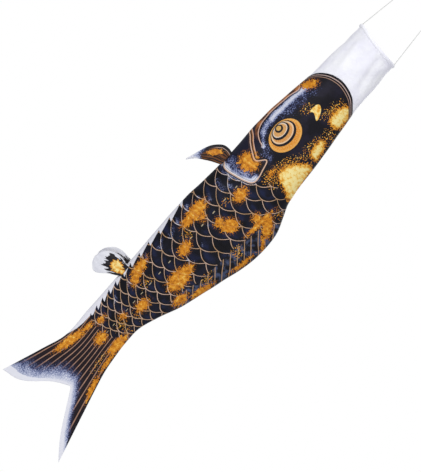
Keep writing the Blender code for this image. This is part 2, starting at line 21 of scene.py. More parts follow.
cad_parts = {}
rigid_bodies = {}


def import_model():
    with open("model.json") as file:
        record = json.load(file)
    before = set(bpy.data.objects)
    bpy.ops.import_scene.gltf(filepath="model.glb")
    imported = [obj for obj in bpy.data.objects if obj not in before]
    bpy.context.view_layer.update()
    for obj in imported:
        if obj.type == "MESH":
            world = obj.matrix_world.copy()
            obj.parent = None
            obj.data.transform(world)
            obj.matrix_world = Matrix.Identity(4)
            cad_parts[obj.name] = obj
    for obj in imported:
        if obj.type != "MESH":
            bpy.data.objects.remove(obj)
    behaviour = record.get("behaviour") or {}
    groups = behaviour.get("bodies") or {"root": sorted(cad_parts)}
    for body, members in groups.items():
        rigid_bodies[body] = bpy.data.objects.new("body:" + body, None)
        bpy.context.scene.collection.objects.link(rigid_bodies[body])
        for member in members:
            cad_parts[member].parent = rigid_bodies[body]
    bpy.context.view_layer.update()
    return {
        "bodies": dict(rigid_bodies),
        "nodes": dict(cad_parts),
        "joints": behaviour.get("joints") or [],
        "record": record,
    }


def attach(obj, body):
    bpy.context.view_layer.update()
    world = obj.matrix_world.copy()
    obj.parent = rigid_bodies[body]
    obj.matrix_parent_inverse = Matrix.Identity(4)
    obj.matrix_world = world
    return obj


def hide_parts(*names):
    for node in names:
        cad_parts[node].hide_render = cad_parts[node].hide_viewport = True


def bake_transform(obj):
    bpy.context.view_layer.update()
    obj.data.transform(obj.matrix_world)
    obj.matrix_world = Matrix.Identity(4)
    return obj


LOG = logging.getLogger("carp_streamer")
MM = 0.001
PER_METRE = 1000.0  # millimetres in a metre
THREADS = 5200.0  # radians of the weave's wave to the metre
CORD_LAY = 0.0065  # length in which a strand goes once round its cord

Table = Sequence[Sequence[float]]
Spot = tuple[float, float]
Node = bpy.types.Node
Socket = bpy.types.NodeSocket
Material = bpy.types.Material
Piece = bpy.types.Object
Shape = bmesh.types.BMesh


class Flank(Enum):
    """The two flanks of the fish, and the sign of Y on each."""

    LEFT = -1
    RIGHT = 1

    @property
    def word(self) -> str:
        """The flank's name as the frame's nodes spell it."""
        return self.name.lower()


# ---------------------------------------------------------------- the fish's form


def smooth_value(table: Table, where: np.ndarray, column: int) -> np.ndarray:
    """Read one column of a table along a smooth curve through its rows.

    Args:
        table: rows that start with a place.
        where: the places to read.
        column: the column to read.

    Returns:
        The column's value at each place.
    """
    rows = np.array(table, float)
    xs, ys = rows[:, 0], rows[:, column]
    last = len(xs) - 1
    before, after = np.maximum(np.arange(last + 1) - 1, 0), np.minimum(np.arange(last + 1) + 1, last)
    slopes = (ys[after] - ys[before]) / (xs[after] - xs[before])
    k = np.clip(np.searchsorted(xs[1:-1], where, side="right"), 0, last - 1)
    run = xs[k + 1] - xs[k]
    t = (where - xs[k]) / run
    return (
        (2 * t**3 - 3 * t**2 + 1) * ys[k]
        + (t**3 - 2 * t**2 + t) * slopes[k] * run
        + (3 * t**2 - 2 * t**3) * ys[k + 1]
        + (t**3 - t**2) * slopes[k + 1] * run
    )


@dataclass(frozen=True)
class FishForm:
    """Sizes of the sewn fish, and where each point of its cloth lies."""

    length: float = 1.0
    height: float = 0.176
    thickness: float = 0.092
    hoop_half_height: float = 0.0488
    hoop_half_width: float = 0.049
    hoop_lean: float = 0.0089
    hoop_sag: float = 0.006
    middle: Vector = Vector((-0.0037, 0.0, -0.27115))
    lean: float = math.radians(1.6)
    head_bend: float = 0.392
    rear_bend: float = 0.574
    tail_bend: float = 0.722
    outline: Table = (
        (0.1184, -0.326, 0.293, 0.97), (0.2410, -0.413, 0.364, 0.97), (0.3320, -0.420, 0.415, 1.00),
        (0.3630, -0.424, 0.480, 1.00), (0.4010, -0.432, 0.552, 1.00), (0.4545, -0.455, 0.549, 0.97),
        (0.5080, -0.467, 0.484, 0.90), (0.6150, -0.449, 0.310, 0.62), (0.6680, -0.438, 0.179, 0.44),
        (0.7105, -0.437, 0.105, 0.30), (0.7487, -0.440, 0.103, 0.22), (0.8050, -0.437, 0.137, 0.16),
        (0.8556, -0.530, 0.207, 0.12), (1.0000, -0.830, 0.424, 0.065),
    )
    trailing: Table = (
        (-1.00, 0.9380), (-0.60, 0.9300), (-0.13, 0.8940), (0.28, 0.8770), (0.37, 0.8780),
        (0.59, 0.9150), (0.82, 0.9650), (1.00, 1.0000),
    )

    @property
    def tailward(self) -> Vector:
        """The direction from mouth to tail."""
        return Vector((math.sin(self.lean), 0, -math.cos(self.lean)))

    @property
    def backward(self) -> Vector:
        """The direction from belly to back."""
        return Vector((math.cos(self.lean), 0, math.sin(self.lean)))

    def section(self, along: np.ndarray) -> tuple[np.ndarray, np.ndarray, np.ndarray]:
        """Middle, half height and half thickness of the fish at distances along it.

        Args:
            along: distance from the mouth towards the tail.

        Returns:
            One value of each a distance.
        """
        share = along / self.length
        lip = self.outline[0][0]
        at = np.maximum(share, lip)
        belly, back, flank = (smooth_value(self.outline, at, c) for c in (1, 2, 3))
        middle = (belly + back) / 2 * self.height
        height = (back - belly) / 2 * self.height
        depth = flank * self.thickness / 2
        fore = np.clip(share / lip, 0, 1)
        middle = middle * fore
        height = self.hoop_half_height + (height - self.hoop_half_height) * fore
        depth = self.hoop_half_width + (depth - self.hoop_half_width) * fore
        return middle, height, depth

    def place(self, along: float, across: float, out: float = 0.0) -> Vector:
        """A point of the fish in the streamer's own frame."""
        return self.middle + along * self.tailward + across * self.backward + Vector((0, out, 0))

    def places(self, along: np.ndarray, across: np.ndarray, out: np.ndarray) -> np.ndarray:
        """Many points of the fish, one row each.

        Args:
            along: distance from the mouth towards the tail.
            across: distance from the axis towards the back.
            out: distance sideways from the fish's middle.

        Returns:
            One point a row.
        """
        tail, back = np.array(self.tailward), np.array(self.backward)
        points = np.array(self.middle) + np.outer(along, tail) + np.outer(across, back)
        points[:, 1] += out
        return points

    def hoop_point(self, turn: float) -> Vector:
        """The middle of the hoop's wire; turn 0 is the nape and half a turn is the chin.

        Args:
            turn: angle round the hoop from the nape.

        Returns:
            The point.
        """
        along = self.hoop_lean * math.cos(turn) + self.hoop_sag * math.sin(turn) ** 2
        out = self.hoop_half_width * math.sin(turn)
        return self.place(along, self.hoop_half_height * math.cos(turn), out)


FISH = FishForm()

# ---------------------------------------------------------------- print plan, in millimetres

FAR_OUTSIDE = -12.0  # depth of a point that is near no patch
SPIKE_SHARE = 0.17  # a burst's spikes as a share of its size


@dataclass(frozen=True)
class Patch:
    """An oval patch of the print: its middle, its half sizes and its turn in degrees."""

    along: float
    across: float
    long_half: float
    wide_half: float
    turn: float = 0.0


def patches(*rows: Sequence[float]) -> tuple[Patch, ...]:
    """One patch a row."""
    return tuple(Patch(*row) for row in rows)


def patch_field(points: np.ndarray, spread: Sequence[Patch]) -> np.ndarray:
    """How deep each point lies inside the nearest patch, in millimetres; negative outside.

    A patch has a ragged edge, with spikes about as long as a sixth of its size.

    Args:
        points: places on the plan, one row each, in millimetres.
        spread: the patches.

    Returns:
        One value a point.
    """
    best = np.full(len(points), FAR_OUTSIDE)
    for p in spread:
        d = points - (p.along, p.across)
        c, s = math.cos(math.radians(p.turn)), math.sin(math.radians(p.turn))
        x, y = d[:, 0] * c + d[:, 1] * s, d[:, 1] * c - d[:, 0] * s
        r = np.sqrt((x / p.long_half) ** 2 + (y / p.wide_half) ** 2)
        turn = np.arctan2(y, x)
        size = math.sqrt(p.long_half * p.wide_half)
        spikes = np.abs(np.sin(turn * 9.5 + p.along)) ** 1.5 + np.abs(np.sin(turn * 5.5 + p.across)) - 1.0
        best = np.maximum(best, (1 - r) * size + spikes * size * SPIKE_SHARE * np.clip(r, 0, 1))
    return best


def line_distance(points: np.ndarray, line: Sequence[Spot], closed: bool) -> np.ndarray:
    """Distance from each point to a run of straight pieces.

    Args:
        points: places on the plan, one row each, in millimetres.
        line: the line's points in order.
        closed: whether the last point joins the first.

    Returns:
        One value a point.
    """
    ends = list(zip(line, line[1:] + line[:1] if closed else line[1:]))
    best = np.full(len(points), 1e6)
    for a, b in ends:
        a, b = np.array(a, float), np.array(b, float)
        run = b - a
        share = np.clip(((points - a) @ run) / (run @ run), 0, 1)
        best = np.minimum(best, np.hypot(*(points - a - share[:, None] * run).T))
    return best


def region_depth(points: np.ndarray, outline: Sequence[Spot]) -> np.ndarray:
    """Signed distance to a closed outline, positive inside it.

    Args:
        points: places on the plan, one row each, in millimetres.
        outline: the outline's corners.

    Returns:
        One value a point.
    """
    inside = np.zeros(len(points), bool)
    x, y = points[:, 0], points[:, 1]
    for (x0, y0), (x1, y1) in zip(outline, list(outline[1:]) + [outline[0]]):
        crosses = (y0 > y) != (y1 > y)
        slope = (x1 - x0) / (y1 - y0) if y1 != y0 else 0.0
        inside ^= crosses & (x < x0 + (y - y0) * slope)
    return np.where(inside, 1, -1) * line_distance(points, list(outline), True)


def outline_depth(points: np.ndarray, outline: Sequence[Spot], reach: float) -> np.ndarray:
    """Signed distance to a smooth closed outline, held within a reach."""
    return np.clip(region_depth(points, smooth_line(outline, 4, True)), -reach, reach)


def soft_line(points: np.ndarray, line: Sequence[Spot], reach: float) -> np.ndarray:
    """1 on a line, falling smoothly to 0 at its reach."""
    share = np.clip(1 - line_distance(points, list(line), False) / reach, 0, 1)
    return share * share * (3 - 2 * share)


def smooth_line(line: Sequence[Spot], steps: int = 6, closed: bool = False) -> list[Spot]:
    """A run of points on a smooth curve through the given ones.

    Args:
        line: the line's points in order.
        steps: points made for each given one.
        closed: whether the last point joins the first.

    Returns:
        The points of the curve.
    """
    pts = [np.array(p, float) for p in line]
    count = len(pts)
    made: list[Spot] = []
    for i in range(count if closed else count - 1):
        p0 = pts[(i - 1) % count] if closed or i > 0 else pts[0]
        p1, p2 = pts[i], pts[(i + 1) % count]
        p3 = pts[(i + 2) % count] if closed or i + 2 < count else pts[-1]
        for k in range(steps):
            t = k / steps
            square, cube = 2 * p0 - 5 * p1 + 4 * p2 - p3, 3 * p1 - p0 - 3 * p2 + p3
            q = 0.5 * (2 * p1 + (p2 - p0) * t + square * t**2 + cube * t**3)
            made.append((float(q[0]), float(q[1])))
    return made if closed else made + [tuple(float(v) for v in pts[-1])]


@dataclass(frozen=True)
class PrintPlan:
    """Where the carp's printed features lie on the cloth, seen from the side, in millimetres."""

    lip_edge: Table = (
        (-60, 133), (-52.5, 118), (-32.5, 103.5), (-10, 98), (7.5, 99.5), (30, 108), (45, 122),
        (56, 134),
    )
    orange: tuple[Patch, ...] = patches(
        (387, -6, 15, 11), (444, 18, 17, 13, -35), (453, -1, 9, 8), (467, -48, 27, 12),
        (466, -34, 9, 7, 60), (492, -48, 14, 8), (533, -17, 15, 10, 15), (584, 14, 27, 16),
        (560, 14, 12, 8), (622, -55, 26, 9, 12), (640, -48, 12, 7, 30), (668, -5, 15, 10),
        (402, 58, 33, 5, -4), (400, 47, 8, 9, -50), (398, 74, 22, 10, 35), (428, 89, 16, 3.5, 40),
        (484, 84, 22, 4, -10), (572, 62, 22, 6, -14), (612, 42, 15, 8, -10), (741, -46, 10, 5),
        (708, -19, 6, 6), (768, -23, 13, 9), (757, 10, 24, 9), (795, 17, 18, 4, 6),
        (810, -64, 33, 8, -12), (768, -56, 10, 4, -4), (850, 29, 24, 5.5, 17), (329, -35, 18, 18),
        (318, 11, 8, 4), (143, -48, 15, 8, -32),
    )
    pale: tuple[tuple[Spot, ...], ...] = (
        ((124, 41), (130, 29), (146, 23), (167, 24), (175, 35), (173, 49), (160, 54), (134, 49)),
        ((203, 42), (217, 37), (236, 39), (246, 48), (242, 59), (220, 58), (205, 50)),
        (
            (256, 54), (265, 41), (278, 29), (295, 20), (311, 21), (319, 35),
            (328, 54), (335, 71), (327, 77), (287, 69), (258, 62),
        ),
    )
    specks: tuple[Patch, ...] = patches(
        (152, 16, 24, 8, -8), (182, -21, 12, 8), (222, 34, 24, 7, -12), (262, 32, 24, 6, -28),
        (296, 15, 30, 8, -14), (330, 20, 12, 16), (190, 46, 10, 12), (472, 62, 12, 9),
        (548, 54, 14, 9, 20), (366, 73, 8, 8), (722, -12, 14, 8), (728, 6, 12, 8), (514, -30, 12, 8),
        (630, -28, 12, 6), (798, 4, 26, 4, 4), (418, -18, 8, 5), (690, 1, 5, 9),
    )
    nostril: tuple[Spot, ...] = (
        (160, -6.5), (163.5, -11.5), (172, -13), (182, -12.5), (178.5, -6.5), (180.5, -1),
        (186.5, 8.2), (181, 9.2), (171, 5), (163.5, 0),
    )
    gill: tuple[Spot, ...] = (
        (280, -90), (287, -71), (300, -58), (312, -42), (319, -27), (305, -12), (325, -5), (345, -1),
        (356, -5), (362, -18), (366, -35), (369, -52), (368, -64), (360, -71), (350, -90),
    )
    jowl: tuple[Spot, ...] = (
        (150, -90), (158, -57), (185, -61.5), (215, -66), (245, -67.5), (262, -65.5), (276, -58.5),
        (285, -47), (290, -37), (302, -35), (325, -45), (335, -62), (340, -90),
    )
    head: tuple[Spot, ...] = (
        (60, -120), (366, -120), (369, -60), (366, -34), (359, -6), (341, 4), (335, 20), (330, 38),
        (334, 55), (338, 72), (340, 110), (60, 110),
    )
    glow_lines: tuple[tuple[float, float, tuple[Spot, ...]], ...] = (
        (12, 0.86, ((150, -49), (165, -52), (190, -55), (222, -58), (240, -58))),
        (12, 0.62, ((240, -58), (258, -58), (270, -53))),
        (24, 0.30, ((140, -40), (180, -44), (215, -46))),
        (9, 0.50, ((270, -53), (279, -45), (287, -36))),
        (8, 0.95, ((287, -39), (290, -34))),
        (18, 0.30, ((286, -30), (296, -22), (300, -14))),
        (12, 0.95, ((364, -69), (368, -50), (363, -24), (354, -8), (344, -4))),
        (22, 0.45, ((352, -60), (356, -40), (350, -18))),
        (13, 0.35, ((395, -55), (400, -40))),
        (10, 0.55, ((387, -52), (392, -40), (386, -28))),
        (9, 0.5, ((423, -52), (430, -42))),
        (7, 0.5, ((376, -62), (380, -50), (376, -40))),
        (10, 0.4, ((520, -58), (536, -50))),
        (8, 0.3, ((505, 6), (500, 2))),
        (10, 0.5, ((392, 93), (420, 99), (458, 96))),
        (9, 0.55, ((505, 80), (530, 77), (548, 71))),
        (8, 0.3, ((560, -55), (580, -50))),
        (8, 0.5, ((444, -62), (454, -54))),
        (8, 0.55, ((470, -68), (481, -60))),
        (8, 0.45, ((500, -66), (510, -57))),
        (8, 0.45, ((552, -62), (564, -53))),
        (8, 0.45, ((590, -64), (601, -55))),
        (8, 0.4, ((648, -56), (658, -48))),
        (7, 0.4, ((688, -56), (697, -50))),
        (8, 0.3, ((540, 10), (546, 2))),
        (8, 0.3, ((470, -12), (476, -20))),
    )
    dorsal_edge: Table = (
        (330, 140), (365, 100), (392, 76), (412, 66), (470, 54), (515, 50), (560, 46), (600, 35),
        (625, 32), (650, 60), (700, 90),
    )
    belly_edge: Table = (
        (440, -110), (466, -83), (480, -77), (500, -76.5), (520, -75), (560, -73.5), (620, -72),
        (700, -69), (738, -66.5), (768, -68), (785, -70.5), (800, -75), (814, -80.5), (832, -95),
        (850, -130),
    )
    row_pitch: Table = (
        (300, 15.2), (450, 16.3), (520, 15.6), (600, 13.6), (650, 11.4), (700, 9.6), (790, 8.4),
    )
    lateral: float = -21.5
    column_share: float = 0.326
    bow: float = 10.8
    bow_middle: float = 8.0
    bow_half: float = 57.0
    bow_least: float = -14.0
    tip_at: float = 429.2
    tip_row: float = 41.0
    side_column: float = 20.5
    edge_narrowing: float = 0.10
    tail_base: float = 752.0

    def lip_along(self, across: np.ndarray) -> np.ndarray:
        """How far from the mouth the print's front edge lies."""
        low, high = self.lip_edge[0][0], self.lip_edge[-1][0]
        return smooth_value(self.lip_edge, np.clip(across, low, high), 1)

    def rows(self, along: np.ndarray, across: np.ndarray) -> np.ndarray:
        """Row number of the scales: a scale's tip lies on a whole number.

        Args:
            along: distance from the mouth towards the tail.
            across: distance from the axis towards the back.

        Returns:
            One value a point.
        """
        bow = self.bow * (1 - ((across - self.bow_middle) / self.bow_half) ** 2)
        bow_tip = self.bow * (1 - ((self.lateral - self.bow_middle) / self.bow_half) ** 2)
        step = 0.5
        fine = np.arange(250.0, 900.0, step)
        first, last = self.row_pitch[0][0], self.row_pitch[-1][0]
        pitch = smooth_value(self.row_pitch, np.clip(fine, first, last), 1)
        total = np.cumsum(step / pitch)
        tip = np.interp(self.tip_at - bow_tip, fine, total)
        return np.interp(along - np.maximum(bow, self.bow_least), fine, total) - tip + self.tip_row

    def columns(self, along: np.ndarray, across: np.ndarray) -> np.ndarray:
        """Column number of the scales: whole and a half lie on the middles of even rows.

        Args:
            along: distance from the mouth towards the tail.
            across: distance from the axis towards the back.

        Returns:
            One value a point.
        """
        middle, height, _ = FISH.section(along * MM)
        share = (across * MM - middle) / height
        width = self.column_share * 2 * height / MM
        return self.side_column + (across - self.lateral) / width * (1 + self.edge_narrowing * share**4)


PLAN = PrintPlan()


def tail_glow(along: np.ndarray, across: np.ndarray, share: np.ndarray) -> np.ndarray:
    """How far the tail's print has paled at each point: 0 is full colour and 1 is white cloth.

    Args:
        along: distances from the mouth, in millimetres.
        across: distances from the axis, in millimetres; not used.
        share: 0 on the axis, -1 on the belly and 1 on the back.

    Returns:
        One value a point.
    """
    edge = smooth_value(FISH.trailing, np.clip(share, -1, 1), 1) * PER_METRE
    slope_room = np.interp(share, (-1, -0.6, -0.2, 0.2, 0.4, 0.6, 1), (1.0, 0.9, 0.8, 0.95, 0.85, 0.5, 0.5))
    left = (edge - along) * slope_room
    white = np.interp(share, (-1, -0.5, 0.0, 0.3, 0.6, 1), (16, 10, 3, 1, 6, 8))
    fade = np.interp(share, (-1, -0.5, 0.0, 0.3, 0.6, 1), (58, 62, 50, 38, 28, 22))
    paling = np.clip(1 - (left - white) / fade, 0, 1)
    hem = np.interp(share, (-1, -0.4, 0.1, 1), (0.3, 0.22, 0.0, 0.0))
    return np.where(paling < 1, paling ** 1.15 * (1 - hem), 1.0)


def print_fields(along: np.ndarray, across: np.ndarray) -> dict[str, np.ndarray]:
    """Every field that the print's finish reads, at points given in millimetres.

    Args:
        along: distances from the mouth.
        across: distances from the axis towards the back.

    Returns:
        The fields by name; distances are in millimetres.
    """
    points = np.column_stack([along, across])
    middle, height, _ = FISH.section(along * MM)
    share = np.clip((across * MM - middle) / height, -1, 1)
    lip = along - PLAN.lip_along(across)
    head = region_depth(points, PLAN.head)
    dorsal = across - np.interp(along, *np.array(PLAN.dorsal_edge, float).T)
    belly = np.interp(along, *np.array(PLAN.belly_edge, float).T) - across
    glow = np.zeros(len(along))
    for reach, strength, line in PLAN.glow_lines:
        glow = np.maximum(glow, strength * soft_line(points, line, reach))
    glow = np.maximum(glow, np.where(along > 760, tail_glow(along, across, share), 0))
    speck = np.clip(patch_field(points, PLAN.specks) / 6, -1, 1)
    return {
        "lip": lip,
        "head": np.clip(head, -15, 15),
        "gold": patch_field(points, PLAN.orange),
        "pale": np.max([outline_depth(points, outline, 12) for outline in PLAN.pale], axis=0),
        "speck": speck,
        "nostril": outline_depth(points, PLAN.nostril, 12),
        "gill": outline_depth(points, PLAN.gill, 15),
        "jowl": outline_depth(points, PLAN.jowl, 15),
        "dorsal": np.clip(dorsal, -20, 40),
        "belly": np.clip(belly, -20, 20),
        "glow": glow,
        "row": PLAN.rows(along, across),
        "column": PLAN.columns(along, across),
        "tail": along - PLAN.tail_base + 14 * np.abs(share + 0.1) ** 1.5 - 6,
        "share": share,
    }


# ---------------------------------------------------------------- shader helpers


def paint(code: str) -> tuple[float, float, float, float]:
    """A screen colour such as "E29A35" as the linear colour that a shader takes."""
    parts = [int(code[i : i + 2], 16) / 255 for i in (0, 2, 4)]
    return (*[v / 12.92 if v <= 0.04045 else ((v + 0.055) / 1.055) ** 2.4 for v in parts], 1.0)


class NodeSheet:
    """Lays nodes in one tree and joins them."""

    def __init__(self, tree: bpy.types.NodeTree) -> None:
        """Start on an empty or a half-laid tree."""
        self.tree = tree
        self.laid = 0

    def add(self, kind: str, **settings: object) -> Node:
        """Lay one node with the given settings.

        Args:
            kind: the node's type.
            settings: its own settings by name.

        Returns:
            The node.
        """
        node = self.tree.nodes.new(kind)
        node.location = (self.laid % 14 * 180, -(self.laid // 14) * 240)
        self.laid += 1
        for name, value in settings.items():
            setattr(node, name, value)
        return node

    def feed(self, socket: Socket, value: object) -> None:
        """Join a socket to an input, or write a plain value in it.

        Args:
            socket: the input.
            value: a socket or a plain value.
        """
        if isinstance(value, Socket):
            self.tree.links.new(value, socket)
        else:
            socket.default_value = value

    def math(self, operation: str, *values: object, clamp: bool = False) -> Socket:
        """One Math node.

        Args:
            operation: the sum's name.
            values: the values in order.
            clamp: whether to hold the result within 0 and 1.

        Returns:
            The result.
        """
        node = self.add("ShaderNodeMath", operation=operation, use_clamp=clamp)
        for socket, value in zip(node.inputs, values):
            self.feed(socket, value)
        return node.outputs[0]

    def times(self, a: object, b: object) -> Socket:
        """Product of two values."""
        return self.math("MULTIPLY", a, b)

    def plus(self, a: object, b: object) -> Socket:
        """Sum of two values."""
        return self.math("ADD", a, b)

    def less(self, a: object, b: object) -> Socket:
        """First value less the second."""
        return self.math("SUBTRACT", a, b)

    def band(self, value: object, low: object, high: object) -> Socket:
        """0 at low and 1 at high, smooth between them.

        Args:
            value: a socket or a plain value.
            low: value that gives 0.
            high: value that gives 1.

        Returns:
            The result.
        """
        node = self.add("ShaderNodeMapRange", interpolation_type="SMOOTHSTEP")
        for name, given in (("Value", value), ("From Min", low), ("From Max", high)):
            self.feed(node.inputs[name], given)
        return node.outputs["Result"]

    def line(self, distance: object, width: float, soft: float = 0.35) -> Socket:
        """1 within half a width of where a distance is 0."""
        size = self.math("ABSOLUTE", distance)
        return self.band(size, width / 2 + soft, width / 2 - soft)

    def mix(self, share: object, under: object, over: object) -> Socket:
        """Lay one colour over another.

        Args:
            share: how much of the upper colour shows.
            under: the lower colour.
            over: the upper colour.

        Returns:
            The mixed colour.
        """
        node = self.add("ShaderNodeMix", data_type="RGBA")
        self.feed(node.inputs[0], share)
        self.feed(node.inputs[6], under)
        self.feed(node.inputs[7], over)
        return node.outputs[2]

    def ramp(self, value: object, stops: Sequence[tuple[float, str]]) -> Socket:
        """A run of colours along a value.

        Args:
            value: a socket or a plain value.
            stops: place and colour of each stop.

        Returns:
            The colour.
        """
        node = self.add("ShaderNodeValToRGB")
        ramp = node.color_ramp
        while len(ramp.elements) < len(stops):
            ramp.elements.new(0.5)
        for element, (place, code) in zip(ramp.elements, stops):
            element.position = place
            element.color = paint(code)
        self.feed(node.inputs[0], value)
        return node.outputs["Color"]

    def noise(self, vector: object, scale: float, detail: float = 2.0, dims: str = "3D") -> Socket:
        """Smooth noise about one half.

        Args:
            vector: the place to read.
            scale: features to the metre.
            detail: finer octaves.
            dims: 2D on a plan and 3D in space.

        Returns:
            Values about one half.
        """
        node = self.add("ShaderNodeTexNoise", noise_dimensions=dims)
        self.feed(node.inputs["Vector"], vector)
        self.feed(node.inputs["Scale"], scale)
        self.feed(node.inputs["Detail"], detail)
        return node.outputs["Fac"]

    def field(self, name: str) -> Socket:
        """A value that the piece's own mesh carries."""
        return self.add("ShaderNodeAttribute", attribute_name=name).outputs["Fac"]

    def feed_all(self, node: Node, **values: object) -> Node:
        """Feed a node's inputs by name; an underscore in a name stands for a space.

        Args:
            node: the node.
            values: the values in order.

        Returns:
            The node.
        """
        for name, value in values.items():
            self.feed(node.inputs[name.replace("_", " ")], value)
        return node

    def group(self, made: bpy.types.NodeTree, **values: object) -> Node:
        """Place a node group with its own values."""
        return self.feed_all(self.add("ShaderNodeGroup", node_tree=made), **values)

    def plan(self) -> Socket:
        """Each point's place on the print's plan, which the piece carries as its map."""
        return self.add("ShaderNodeUVMap", uv_map="plan").outputs["UV"]

    def split(self, where: Socket) -> tuple[Socket, Socket]:
        """The two coordinates of a place on a plan.

        Args:
            where: the place.

        Returns:
            Both coordinates.
        """
        parts = self.add("ShaderNodeSeparateXYZ")
        self.feed(parts.inputs[0], where)
        return parts.outputs["X"], parts.outputs["Y"]

    def relief(self, shader: Node, height: object, strength: float, distance: float) -> None:
        """Raise a surface by a pattern's height."""
        bump = self.feed_all(self.add("ShaderNodeBump"), Strength=strength, Distance=distance, Height=height)
        self.feed(shader.inputs["Normal"], bump.outputs["Normal"])


def new_group(
    name: str, takes: Sequence[tuple[str, str, object]], gives: Sequence[tuple[str, str]]
) -> tuple[bpy.types.NodeTree, NodeSheet, bpy.types.NodeOutputs, Node]:
    """An empty node group with named sockets.

    Args:
        name: the group's name.
        takes: name, kind and usual value of each input.
        gives: name and kind of each output.

    Returns:
        The group, a sheet to lay its nodes on, what it takes and its output node.
    """
    tree = bpy.data.node_groups.new(name, "ShaderNodeTree")
    for title, kind, usual in takes:
        socket = tree.interface.new_socket(name=title, in_out="INPUT", socket_type="NodeSocket" + kind)
        if usual is not None:
            socket.default_value = usual
    for title, kind in gives:
        tree.interface.new_socket(name=title, in_out="OUTPUT", socket_type="NodeSocket" + kind)
    sheet = NodeSheet(tree)
    return tree, sheet, sheet.add("NodeGroupInput").outputs, sheet.add("NodeGroupOutput")


